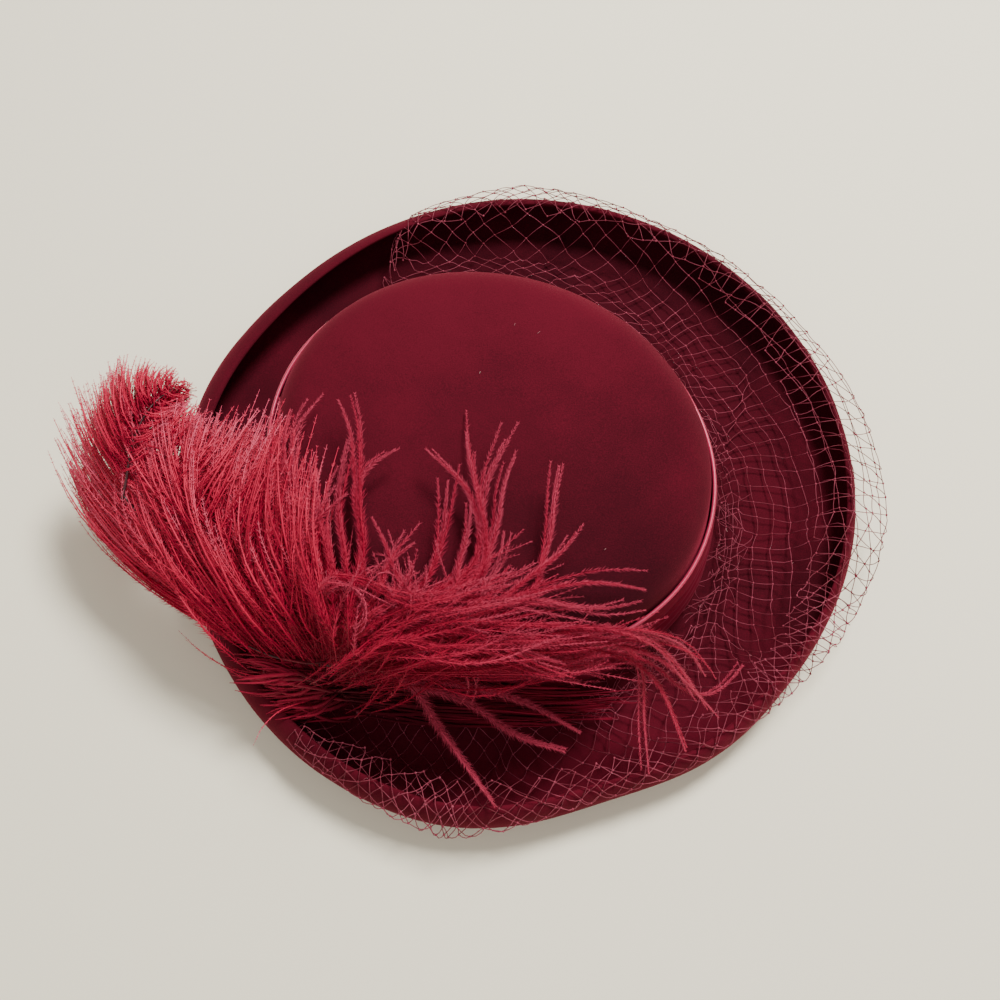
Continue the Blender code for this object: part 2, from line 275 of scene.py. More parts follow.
# Painted light: the low near side of the brim, most of all its rim, is painted lighter, lifting the shade
# there
NEARER_WAY = (0.0, 1.0, -2.0)
NEAR_BRIM_LIGHT = {"From Min": -0.05, "From Max": -0.14, "To Max": 0.42}
ON_BRIM = {"From Min": 0.045, "From Max": 0.040}
NAP_AND_SHADE_STOPS = {0.20: "#26030b", 0.40: "#3c0613", 0.58: "#500b1b", 0.84: "#5b0f20"}

velour, tree, shader = new_finish(
    "velour_felt", Roughness=0.95, Specular_IOR_Level=0.1,
    Sheen_Weight=0.30, Sheen_Roughness=0.45, Sheen_Tint=colour("#c03454"),
)
place = add_node(tree, "ShaderNodeTexCoord").outputs["Object"]
patches = add_node(
    tree, "ShaderNodeTexNoise", {"Scale": 1 / PATCH_WIDTH, "Detail": 4.0, "Roughness": 0.6}, {"Vector": place}
)
pile = add_node(
    tree, "ShaderNodeTexNoise", {"Scale": 1 / PILE_WIDTH, "Detail": 3.0, "Roughness": 0.7}, {"Vector": place}
)
mixed = add_node(
    tree, "ShaderNodeMix", {"data_type": "FLOAT", "Factor": 0.6},
    {2: patches.outputs["Fac"], 3: pile.outputs["Fac"]},
)
# Painted light and shade: a colour fall-off across the hat, lighter towards the far side
painted_falloff = add_node(tree, "ShaderNodeVectorMath", {"operation": "DOT_PRODUCT", 1: PAINTED_FALLOFF_WAY}, {0: place})
nap_and_painted_shade = add_node(
    tree, "ShaderNodeMath", {"operation": "MULTIPLY_ADD", 1: PAINTED_FALLOFF_BY},
    {0: painted_falloff.outputs["Value"], 2: mixed.outputs[0]},
)

# %% Painted light and shade by the part of the hat
parts = add_node(tree, "ShaderNodeSeparateXYZ", links={"Vector": place})
# Painted shade: darker in the far side of the trough, low down
far_side = add_node(tree, "ShaderNodeMapRange", FAR_TROUGH_SHADE, {"Value": parts.outputs["Y"]})
low_trough_shade = add_node(tree, "ShaderNodeMapRange", LOW_TROUGH_SHADE, {"Value": parts.outputs["Z"]})
painted_trough_shade = add_node(
    tree, "ShaderNodeMath", {"operation": "MULTIPLY"}, {0: far_side.outputs[0], 1: low_trough_shade.outputs[0]}
)
nap_and_painted_shade = add_node(tree, "ShaderNodeMath", {"operation": "SUBTRACT"}, {0: nap_and_painted_shade.outputs[0], 1: painted_trough_shade.outputs[0]})
# Painted light: lighter on the low near side of the brim
nearness = add_node(tree, "ShaderNodeVectorMath", {"operation": "DOT_PRODUCT", 1: NEARER_WAY}, {0: place})
near_side = add_node(tree, "ShaderNodeMapRange", NEAR_BRIM_LIGHT, {"Value": nearness.outputs["Value"]})
on_brim = add_node(tree, "ShaderNodeMapRange", ON_BRIM, {"Value": parts.outputs["Z"]})
nap_and_painted_shade = add_node(
    tree, "ShaderNodeMath", {"operation": "MULTIPLY_ADD"},
    {0: near_side.outputs[0], 1: on_brim.outputs[0], 2: nap_and_painted_shade.outputs[0]},
)
# The colour shows the pile's patches together with the painted light and shade
dye = add_node(tree, "ShaderNodeValToRGB", links={"Fac": nap_and_painted_shade.outputs[0]}, stops=NAP_AND_SHADE_STOPS)
tree.links.new(dye.outputs["Color"], shader.inputs["Base Color"])
pile_bump = add_node(
    tree, "ShaderNodeBump", {"Strength": 0.35, "Distance": PILE_DEPTH}, {"Height": pile.outputs["Fac"]}
)
tree.links.new(pile_bump.outputs["Normal"], shader.inputs["Normal"])
finish_piece(felt, "felt_body", "velour_felt", velour, "felt_hat")


# %% [markdown]
# ## Measuring round the crown
# Band, net and feathers are set by a direction, in degrees from +X towards +Y, and a distance from the
# crown's middle. A ray sent inwards from outside finds the felt at any height. Between two measured
# heights the crown's wall is straight.

# %% Directions and reaches
WALL_LOW, WALL_HIGH, RIM_WIDEST = 0.030, 0.060, 0.014
OUTSIDE = 0.3


def headings(direction):
    turn = np.radians(direction)
    return np.stack([np.cos(turn), np.sin(turn), np.zeros_like(turn)], axis=-1)


def reach_of(faces, height):
    """Distance from the crown's middle to a surface, every 2 degrees, as a function of direction."""
    grid = np.arange(-180, 181, 2.0)
    found = []
    for way in headings(grid):
        start = crown_middle + Vector(way) * OUTSIDE + Vector((0, 0, height))
        hit = faces.ray_cast(start, -Vector(way))[0]
        found.append((hit - crown_middle).xy.length)
    return lambda direction: np.interp((np.array(direction) + 180) % 360 - 180, grid, found)


wall_low_reach = reach_of(felt_tree, WALL_LOW)
wall_high_reach = reach_of(felt_tree, WALL_HIGH)
rim_reach = reach_of(felt_tree, RIM_WIDEST)


def wall_reach(direction, height):
    low, high = wall_low_reach(direction), wall_high_reach(direction)
    return low + (high - low) * (height - WALL_LOW) / (WALL_HIGH - WALL_LOW)


print("crown wall", wall_low_reach([0, 90]).round(4), "rim", rim_reach([0, 90, 180, -90]).round(4))

# %% [markdown]
# ## Satin band
# The band is a bias-cut satin ribbon laid round the crown in soft pleats, with a narrow rolled edge on
# top. It starts as an open cylinder, gets rings by subdividing its upright edges, and each ring is then
# moved to its place in the pleats. A thin wall makes it cloth.

# %% Ribbon before its pleats
BAND_SIDES, BAND_RINGS = 256, 44

start_clean()
bpy.ops.mesh.primitive_cylinder_add(vertices=BAND_SIDES, radius=0.1, depth=1, end_fill_type="NOTHING")
band = bpy.context.object
bpy.ops.object.mode_set(mode="EDIT")
bpy.ops.mesh.select_mode(type="EDGE")
bpy.ops.mesh.select_all(action="DESELECT")
bpy.ops.object.mode_set(mode="OBJECT")
for edge in band.data.edges:
    a, b = (band.data.vertices[i].co for i in edge.vertices)
    edge.select = abs(a.z - b.z) > 0.5
bpy.ops.object.mode_set(mode="EDIT")
bpy.ops.mesh.subdivide(number_cuts=BAND_RINGS - 1)
bpy.ops.object.mode_set(mode="OBJECT")
print("ribbon", len(band.data.vertices), "points")

# %% Satin band
BAND_TOP, BAND_FOOT = 0.061, 0.0155
BAND_GAP, BAND_PROUD = 0.0005, 0.0028
RIBBON_THICK = 0.0004
# How far the ribbon stands out, by its place down the band: top edge, four lapped pleats, tucked foot
PLEATS = [
    (0.000, 0.42), (0.030, 0.50), (0.100, 0.62), (0.180, 0.90), (0.225, 0.96), (0.245, 0.40),
    (0.330, 0.60), (0.410, 0.92), (0.445, 0.94), (0.465, 0.42), (0.560, 0.62), (0.640, 0.94),
    (0.680, 0.92), (0.700, 0.44), (0.800, 0.66), (0.870, 0.86), (0.915, 0.74), (1.000, 0.16),
]
# The ribbon's top stands off the crown most at the left
STAND_OFF, STAND_OFF_AT = 0.0016, 165


def stand_off(direction):
    return STAND_OFF * np.cos(np.radians(direction - STAND_OFF_AT)).clip(0, 1) ** 2


corners = np.array([v.co for v in band.data.vertices])
turn = np.degrees(np.arctan2(corners[:, 1], corners[:, 0]))
wave = np.radians(turn)
down = 0.5 - corners[:, 2]
# The pleats drift up and down on their way round, and stand out unevenly, as laid by hand
drop = down + (0.030 * np.sin(2 * wave + 1.1) + 0.014 * np.sin(5 * wave)) * np.sin(np.pi * down)
stands = np.interp(drop, *zip(*PLEATS))
stands *= 1 + 0.08 * np.sin(5 * wave + 0.4) + 0.05 * np.sin(11 * wave + 7 * down)
height = BAND_TOP + (BAND_FOOT - BAND_TOP) * down
reach = wall_reach(turn, height) + BAND_GAP + BAND_PROUD * stands + stand_off(turn) * (1 - down)
places = np.array(crown_middle) + headings(turn) * reach[:, None]
places[:, 2] = height
band.data.vertices.foreach_set("co", places.ravel())
thick = band.modifiers.new("Thick", "SOLIDIFY")
thick.thickness = RIBBON_THICK
thick.offset = -1
bpy.ops.object.modifier_apply(modifier="Thick")
print("band reaches", (reach.min() * 1000).round(1), "to", (reach.max() * 1000).round(1), "mm")

# %% [markdown]
# The ribbon's top edge is rolled over a thin cord. The roll is a torus whose middle line is moved out from
# the crown, and it catches the light as one bright line, made brighter by a painted highlight in its colour.

# %% Rolled top edge
ROLL, ROLL_RING = 0.00085, 0.1
ROLL_OUT, ROLL_DOWN = 0.0017, 0.0006

start_clean()
bpy.ops.mesh.primitive_torus_add(
    major_segments=BAND_SIDES, minor_segments=10, major_radius=ROLL_RING, minor_radius=ROLL
)
rolled_edge = bpy.context.object
corners = np.array([v.co for v in rolled_edge.data.vertices])
turn = np.degrees(np.arctan2(corners[:, 1], corners[:, 0]))
off_line = np.hypot(corners[:, 0], corners[:, 1]) - ROLL_RING
reach = wall_reach(turn, BAND_TOP) + ROLL_OUT + stand_off(turn) + off_line
places = np.array(crown_middle) + headings(turn) * reach[:, None]
places[:, 2] = BAND_TOP - ROLL_DOWN + corners[:, 2]
rolled_edge.data.vertices.foreach_set("co", places.ravel())
print("rolled edge reaches", (reach.min() * 1000).round(1), "to", (reach.max() * 1000).round(1), "mm")

# %% [markdown]
# Satin is woven with long floats of shiny yarn, so it has broad soft highlights that run across the
# folds. The yarns are far finer than the render shows, so streaks about 3 mm long and twelve times as
# slim, along the ribbon, stand for them.

# %% Satin
STREAK_LONG, STREAK_SLIMMER, STREAK_DEPTH = 0.003333, 12.0, 0.0001

satin, tree, shader = new_finish(
    "woven_satin", Roughness=0.28, Specular_IOR_Level=1.0, Specular_Tint=colour("#f490a4"),
    Sheen_Weight=0.10, Sheen_Roughness=0.3, Sheen_Tint=colour("#e8607c"),
)
floats = mottled(tree, shader, STREAK_LONG, 3.0, {0.3: "#5c091d", 0.7: "#660b21"}, slimmer=STREAK_SLIMMER)
streaks = add_node(
    tree, "ShaderNodeBump", {"Strength": 0.02, "Distance": STREAK_DEPTH}, {"Height": floats.outputs["Fac"]}
)
tree.links.new(streaks.outputs["Normal"], shader.inputs["Normal"])
finish_piece(band, "satin_folds", "satin", satin, "satin_band")

# %% [markdown]
# Over the cord the satin is painted paler and pinker than in the folds, as a painted highlight on the
# rolled edge. Its yarns show as slight changes every millimetre.

# %% Satin with a painted highlight
YARN_WIDTH = 0.001111

# Painted highlight: a paler, pinker copy of the satin for the rolled edge
satin_painted_highlight, tree, shader = new_finish(
    "satin_painted_highlight", Roughness=0.32, Specular_IOR_Level=0.8, Specular_Tint=colour("#f898ac"),
    Sheen_Weight=0.12, Sheen_Roughness=0.3, Sheen_Tint=colour("#ff7c98"),
)
mottled(tree, shader, YARN_WIDTH, 2.0, {0.3: "#9c2240", 0.7: "#b03452"})
finish_piece(rolled_edge, "satin_rolled_edge", "satin", satin_painted_highlight)

# %% [markdown]
# ## Threads and barbs
# Net and feathers are made of thousands of fine strands. Each strand is a path with a radius at each of
# its stations, and all paths of a piece become one mesh of slim three or four sided tubes with closed ends.


# %% Helpers for strands
# Near enough to up, and no strand runs along it
NEARLY_UP = np.array([0.12, 0.05, 1.0])


def unit(vectors):
    return vectors / np.maximum(np.linalg.norm(vectors, axis=-1, keepdims=True), 1e-9)


def smooth_path(points, stations):
    """Evenly spaced stations on a smooth curve through the points."""
    points = np.asarray(points, float)
    gaps = np.linalg.norm(np.diff(points, axis=0), axis=1)
    at = np.concatenate([[0], np.cumsum(gaps)])
    slopes = np.gradient(points, at, axis=0)
    where = np.linspace(0, at[-1], stations)
    i = np.clip(np.searchsorted(at, where, side="right") - 1, 0, len(at) - 2)
    step = (at[i + 1] - at[i])[:, None]
    t = (where - at[i])[:, None] / step
    a, b, m, n = points[i], points[i + 1], slopes[i] * step, slopes[i + 1] * step
    return a + t * (m + t * (3 * (b - a) - 2 * m - n + t * (2 * (a - b) + m + n)))


def frames_of(paths):
    """Tangent, side and up at each station of paths with shape (count, stations, 3)."""
    ahead = unit(np.gradient(paths, axis=1))
    side = unit(np.cross(ahead, NEARLY_UP))
    return ahead, side, np.cross(side, ahead)


def tubes(paths, radii, sides, flat=1.0):
    """Points and faces of closed tubes along the paths, with one corner up; flat squashes them."""
    count, stations = paths.shape[:2]
    _, side, up = frames_of(paths)
    turn = np.pi / 2 + np.arange(sides) * 2 * np.pi / sides
    around = side[:, :, None] * np.cos(turn)[:, None] + up[:, :, None] * np.sin(turn)[:, None] * flat
    points = paths[:, :, None] + around * radii[..., None, None]
    j, k = np.arange(sides), (np.arange(sides) + 1) % sides
    ring = np.arange(stations - 1)[:, None] * sides
    walls = np.stack([ring + j, ring + sides + j, ring + sides + k, ring + k], axis=-1).reshape(-1, 4)
    first = np.arange(count)[:, None, None] * stations * sides
    walls = (first + walls).reshape(-1, 4).tolist()
    caps = (first[:, 0] + np.arange(sides)).tolist()
    ends = (first[:, 0] + (stations - 1) * sides + np.arange(sides)[::-1]).tolist()
    return points.reshape(-1, 3), walls + caps + ends


def copies(shape, matrices):
    """Points and faces of one small shape copied by matrices with shape (count, 3, 4)."""
    corners = np.array([v.co for v in shape.data.vertices])
    points = np.einsum("nij,vj->nvi", matrices[:, :, :3], corners) + matrices[:, None, :, 3]
    faces = np.array([list(f.vertices) for f in shape.data.polygons])
    moved = np.arange(len(matrices))[:, None, None] * len(corners) + faces
    return points.reshape(-1, 3), moved.reshape(-1, faces.shape[1]).tolist()


def joined(name, groups, attributes=None):
    """One mesh object from several (points, faces) groups, with named values per point."""
    points, faces, start = [], [], 0
    for group_points, group_faces in groups:
        points.append(group_points)
        faces += [[i + start for i in face] for face in group_faces]
        start += len(group_points)
    mesh = bpy.data.meshes.new(name)
    mesh.from_pydata(np.concatenate(points), [], faces)
    for label, values in (attributes or {}).items():
        layer = mesh.attributes.new(label, "FLOAT", "POINT")
        layer.data.foreach_set("value", np.concatenate(values).astype(np.float32))
    piece = bpy.data.objects.new(name, mesh)
    bpy.context.collection.objects.link(piece)
    return piece


# %% [markdown]
# ## Net veil
# The veil is a strip of knotted net with square cells of about 8 mm. Its inner edge is gathered round the
# foot of the crown, it is carried over the rolled rim, folded there, and its other edge comes back over
# the brim. So the flat net is drawn first, as a square lattice cut along a bending strip. Each knot is
# then carried to its place on the hat, and each side of a cell becomes a thread that is never quite straight.

# %% Net veil, laid out flat
CELL, THREAD = 0.0083, 0.00021
STRIP, WIDEST, STRIP_STEPS = 0.515, 0.200, 1200
VEIL_FROM, VEIL_TO = 117.0, -128.0
# The strip is stretched along the far rim: directions on the hat by the distance along the strip
ALONG_AT = [0.0, 0.092, STRIP]
HAT_DIRECTION = [VEIL_FROM, 48, VEIL_TO]
# How the cells lie, in degrees, by the direction: as squares near 90 and as diamonds halfway
LEAN_AT = [-128, -94, -40, -15, 14, 48, 90, 117]
LEAN = [168, 138, 126, 94, 84, 70, 45, 28]

along_strip = np.linspace(0, STRIP, STRIP_STEPS)
lean = np.radians(np.interp(np.interp(along_strip, ALONG_AT, HAT_DIRECTION), LEAN_AT, LEAN))
strip_way = np.stack([np.cos(lean), -np.sin(lean)], axis=1)
spine = np.cumsum(strip_way * STRIP / (STRIP_STEPS - 1), axis=0)
outward = np.stack([np.sin(lean), np.cos(lean)], axis=1)


def flat_place(knot):
    """Where a lattice knot lies on the strip, as (distance along, distance out), or None off it."""
    away = np.array(knot) * CELL - spine
    ahead = (away * strip_way).sum(1)
    out = (away * outward).sum(1)
    crossing = np.flatnonzero((ahead[:-1] >= 0) & (ahead[1:] < 0) & (out[:-1] > 0) & (out[:-1] < WIDEST))
    return (along_strip[crossing[0]], out[crossing[0]]) if len(crossing) else None


lattice = [(i, j) for i in range(-30, 90) for j in range(-90, 40)]
kept = [(knot, flat) for knot in lattice if (flat := flat_place(knot)) is not None]
along, out = np.array([flat for _, flat in kept]).T
print("flat net:", len(kept), "knots")

# %% [markdown]
# Cotton net is never square for long. It swings where it is bunched, slow waves run through it, and here
# and there a tuck draws threads together. All that is put in while the net is still flat.

# %% Net veil, slack and tucked
# Tucks in the net: where along the strip, how they slant, and how far threads are pulled to them
TUCKS = [(0.31, -0.9, 0.005), (0.56, 0.4, 0.004), (0.82, 0.6, 0.003)]
TUCK_CROSSES, TUCK_MIDDLE, TUCK_LONG, TUCK_NEAR, TUCK_WIDE = 0.05, 0.055, 0.035, 0.006, 0.030
# How far a knot strays, and how many times more and how far out that holds where the net is bunched
STRAY, BUNCHED_STRAY, BUNCHED_TO = 0.00022, 12, 0.016
LEAST_OUT = 0.0005

random_net = np.random.default_rng(4)
swing = STRAY * (1 + BUNCHED_STRAY * np.exp(-out / BUNCHED_TO))
slack_along = 0.0015 * np.sin(along / 0.0095 + out / 0.013) + 0.0006 * np.sin(along / 0.0041 - out / 0.009)
slack_out = 0.0018 * np.sin(along / 0.0150 + 1.0) * np.sin(out / 0.020)
slack_out = slack_out + 0.0006 * np.sin(along / 0.0052 + out / 0.011)
along, out = along + slack_along, out + slack_out
for place, slope, pull in TUCKS:
    off_tuck = along - place * STRIP - slope * (out - TUCK_CROSSES)
    strength = np.exp(-((out - TUCK_MIDDLE) / TUCK_LONG) ** 2)
    along = along - pull * strength * np.tanh(off_tuck / TUCK_NEAR) * np.exp(-(off_tuck / TUCK_WIDE) ** 2)
along = along + random_net.normal(0, 1, len(along)) * swing
out = np.maximum(out + random_net.normal(0, 1, len(out)) * swing, LEAST_OUT)
print("knots stray up to", (swing.max() * 1000).round(1), "mm")

# %% [markdown]
# Each distance out on the flat net is a distance along one line on the hat: from the gathers at the crown
# over the trough and the rolled rim to the fold, then back over the rim to a soft hem. The tables give the
# line in each direction, and a ray finds the felt below it in the trough.

# %% How the net lies on the hat
# By the direction, in mm: how far the fold stands past the rim, how far the net comes back after it, and
# how much of it is gathered at the crown's foot
VEIL_DIRECTIONS = [-128, -112, -97, -80, -60, -45, -25, -5, 12, 30, 60, 85, 105, 117]
VEIL_PAST_RIM = [0, 2, 7, 1, 1, 1, 9, 15, 12, 5, 2, 8, 1, 0]
VEIL_BACK = [4, 8, 7, 6, 6, 6, 7, 9, 14, 10, 6, 5, 6, 5]
VEIL_GATHER = [30, 30, 30, 30, 30, 30, 30, 30, 32, 50, 70, 84, 80, 56]
# This much net is bunched up in the hem, which shows as 3 mm
HEM, HEM_SHOWN = 0.007, 0.003
# Past the rim, at the right, the square cells lean over, so that the two layers cross as diamonds
SHEAR, SHEAR_AT, SHEAR_WIDE = 0.55, 4, 30
SHEAR_BEFORE_RIM, SHEAR_OVER = 0.088, 0.034
# The veil's end at the upper left is rounded, and lies lower there
ROUND_FROM, ROUND_BY, ROUND_SINK = 104, 0.034, 0.45
CROWN_GAP, FLOOR_GAP = 0.0085, 0.003
SOFT_BEND = 0.0035
# The trough's floor ends this far before the rim, and the net climbs the rim over this distance
FLOOR_END, CLIMB = 0.026, 0.020
RIM_INSIDE, OVER_RIM = 0.0275, 0.0305
# The share of its length that the way back slopes down
SLOPE_BACK = 0.45
# Rays start above the brim, and the net's climb ends a little above the rim's inside
ABOVE_BRIM, CLIMB_PAST = 0.060, 0.001


def by_direction(table, direction):
    return np.interp(direction, VEIL_DIRECTIONS, table) / 1000


def line_on_hat(direction, inner, rim, drawn_in):
    """For one direction: the net's distances out, and the reach and the height that each comes to."""
    past, back = by_direction(VEIL_PAST_RIM, direction), by_direction(VEIL_BACK, direction)
    gather = by_direction(VEIL_GATHER, direction)
    bunch = 0.011 + (gather - 0.030) * 0.42
    width, sink = rim - inner, ROUND_SINK * drawn_in
    over, edge = OVER_RIM - sink, rim - 0.009 - back * 0.95
    # Net used up to each point, its reach and its height: the gathers' two ends, the middle of the trough,
    # the rim's inside, the fold, back over the rim, the end of the way back, and the hem
    used = [
        0, gather, max(0.004, (width - 0.006) * 0.45 - bunch + 0.011), (width - 0.006) * 0.5,
        0.012 + past, 0.010 + past, back, min(HEM, back),
    ]
    reach = [
        inner, inner + bunch, inner + max(bunch + 0.004, 0.008 + width * 0.45), rim - 0.006,
        rim + past, rim - 0.009, edge, edge - HEM_SHOWN,
    ]
    height = [
        0.006, 0.009, 0.009, RIM_INSIDE - sink,
        0.020 - sink, over, over - back * SLOPE_BACK, over - 0.0015 - back * SLOPE_BACK,
    ]
    return np.cumsum(used), reach, height


# %% [markdown]
# The line is followed with its corners rounded, because net is springy and takes no sharp bend.


# %% Net veil, carried onto the hat
def on_hat(along, out):
    """Places of knots from their places on the strip, with no number past the hem."""
    direction = np.interp(along, ALONG_AT, HAT_DIRECTION)
    rim_now = rim_reach(direction)
    shear = SHEAR * np.exp(-(((direction - SHEAR_AT) / SHEAR_WIDE) ** 2))
    leaning = np.clip(out - (rim_now - SHEAR_BEFORE_RIM), 0, SHEAR_OVER)
    direction = direction - np.degrees(shear * leaning / rim_now)
    inner = wall_low_reach(direction) + CROWN_GAP
    drawn_in = ROUND_BY * np.clip((direction - ROUND_FROM) / (VEIL_FROM - ROUND_FROM), 0, 1) ** 2
    rim = rim_reach(direction) - drawn_in
    ways = headings(direction)
    places = np.full((len(along), 3), np.nan)
    for i in range(len(along)):
        stops, reach, height = line_on_hat(direction[i], inner[i], rim[i], drawn_in[i])
        if out[i] >= stops[-1]:
            continue
        near = out[i] + np.array([-SOFT_BEND, 0, SOFT_BEND])
        far = np.interp(near, stops, reach).mean()
        places[i] = np.array(crown_middle) + ways[i] * far
        places[i, 2] = np.interp(near, stops, height).mean()
        if stops[1] < out[i] < stops[3]:
            on_floor = np.array(crown_middle) + ways[i] * min(far, rim[i] - FLOOR_END)
            above = Vector((*on_floor[:2], ABOVE_BRIM))
            floor = felt_tree.ray_cast(above, Vector((0, 0, -1)))[0].z + FLOOR_GAP
            climb = np.clip((far - rim[i] + FLOOR_END) / CLIMB, 0, 1)
            places[i, 2] = floor + (height[3] + CLIMB_PAST - floor) * climb
    return places


knots = on_hat(along, out)
knots[:, 2] += random_net.uniform(-0.3, 1.0, len(knots)) * 0.0014 * (0.4 + 3 * np.exp(-out / 0.012))
numbers = {knot: n for n, (knot, _) in enumerate(kept) if not np.isnan(knots[n, 0])}
print("net:", len(numbers), "knots on the hat")

# %% [markdown]
# A thread runs along each side of a cell, carried onto the hat at four points so that it follows the felt
# as its knots do. A side that would be stretched past twice its length is left out.

# %% Net veil, threads
LONGEST, THREAD_STRAY = 2.2 * CELL, 0.00030

pairs = np.array([
    (n, numbers[other]) for knot, n in numbers.items()
    for other in ((knot[0] + 1, knot[1]), (knot[0], knot[1] + 1)) if other in numbers
])
lengths = np.linalg.norm(knots[pairs[:, 0]] - knots[pairs[:, 1]], axis=1)
pairs = pairs[lengths < LONGEST]
share = np.linspace(0, 1, 4)[None, :, None]


def between(values):
    """Four evenly spaced values from one end to the other of each thread."""
    return values[pairs[:, :1]] * (1 - share) + values[pairs[:, 1:]] * share


flat_threads = between(np.stack([along, out], axis=1))
threads = on_hat(*flat_threads.reshape(-1, 2).T).reshape(len(pairs), 4, 3)
threads += between(knots - on_hat(along, out))
threads += random_net.normal(0, THREAD_STRAY, (len(pairs), 1, 3)) * np.sin(np.pi * share)
threads = threads[~np.isnan(threads).any(axis=(1, 2))]
print("net:", len(threads), "threads")

# %% [markdown]
# Along the crown the gathered net is a tangle, and short curled threads fill it out. Where threads cross,
# a knot sits. One knot is a small squashed ball, and the rest are copies of it.

# %% Net veil, tangle and knots
TANGLES = 180
TANGLE_FROM_WALL, TANGLE_SPREAD = 0.007, 0.0055
TANGLE_REACH, TANGLE_ARCH = 0.0030, 0.0036
TANGLE_LOW, TANGLE_HIGH = 0.0045, 0.016

turn = random_net.uniform(VEIL_TO + 30, VEIL_FROM, TANGLES)
away = wall_low_reach(turn) + TANGLE_FROM_WALL + np.abs(random_net.normal(0, TANGLE_SPREAD, TANGLES))
middles = np.array(crown_middle) + headings(turn) * away[:, None]
middles[:, 2] = random_net.uniform(0.006, 0.013, TANGLES)
reach = random_net.normal(0, TANGLE_REACH, (TANGLES, 1, 3)) * (1, 1, 0.25)
arch = random_net.normal(0, TANGLE_ARCH, (TANGLES, 1, 3)) * (1, 1, 0.4)
loop = np.linspace(-1, 1, 8)[None, :, None]
tangles = middles[:, None] + reach * loop + arch * (1 - loop**2) + 0.4 * arch[::-1] * np.sin(2.6 * loop)
tangles[:, :, 2] = tangles[:, :, 2].clip(TANGLE_LOW, TANGLE_HIGH)

start_clean()
bpy.ops.mesh.primitive_ico_sphere_add(subdivisions=1, radius=1)
knot_shape = bpy.context.object
used_knots = knots[sorted(numbers.values())]
matrices = np.zeros((len(used_knots), 3, 4))
matrices[:, [0, 1, 2], [0, 1, 2]] = random_net.uniform(2.1, 3.0, (len(used_knots), 3)) * THREAD
matrices[:, :, 3] = used_knots
veil = joined("net", [
    tubes(threads, np.full(threads.shape[:2], THREAD), 3),
    tubes(tangles, np.full(tangles.shape[:2], 0.75 * THREAD), 3),
    copies(knot_shape, matrices),
])
bpy.data.objects.remove(knot_shape, do_unlink=True)

# %% [markdown]
# The net is dyed cotton thread. It is matte, and the dye took unevenly, so it is a little paler in places.

# %% Net thread
UNEVEN_DYE = 0.01667

net_thread, tree, shader = new_finish("dyed_net_thread", Roughness=0.7, Specular_IOR_Level=0.3)
mottled(tree, shader, UNEVEN_DYE, 2.0, {0.3: "#6c1a2a", 0.7: "#9a4054"})
finish_piece(veil, "net_veil_threads", "net_thread", net_thread, "net_veil")

# %% [markdown]
# ## Ostrich barbs
# An ostrich feather has no stiff vane. From its quill grow long limp barbs, and every barb is fringed on
# both sides with soft barbules, which makes it look like a fuzzy ribbon. A barb is made as a thin stem and
# a spike for each barbule. The spike is modelled once, and copies lean forward along both sides of the stem.

# %% One barbule
STATIONS, STEM_SIDES = 14, 3
# How much lighter a barb gets from root to tip, and a barbule's own tip beyond that
SHADE_RUN, TIP_SHADE = 0.8, 0.25
# How nearly the tips of a clump meet
CLING = 0.85

start_clean()
bpy.ops.mesh.primitive_cone_add(vertices=3, radius1=1, radius2=0, depth=1, location=(0, 0, 0.5))
spike = bpy.context.object
bpy.ops.object.transform_apply(location=True, rotation=False, scale=False)
SPIKE_POINTS = len(spike.data.vertices)
print("a barbule has", SPIKE_POINTS, "points")


# %% Barbs along paths
def fringe_frames(paths, owner, at):
    """Place, tangent, side and up on a path at shares of its length."""
    where = at * (paths.shape[1] - 1)
    low = where.astype(int)
    part = (where - low)[:, None]
    root, *ways = [
        frame_part[owner, low] * (1 - part) + frame_part[owner, low + 1] * part
        for frame_part in (paths, *frames_of(paths))
    ]
    return root, *(unit(way) for way in ways)


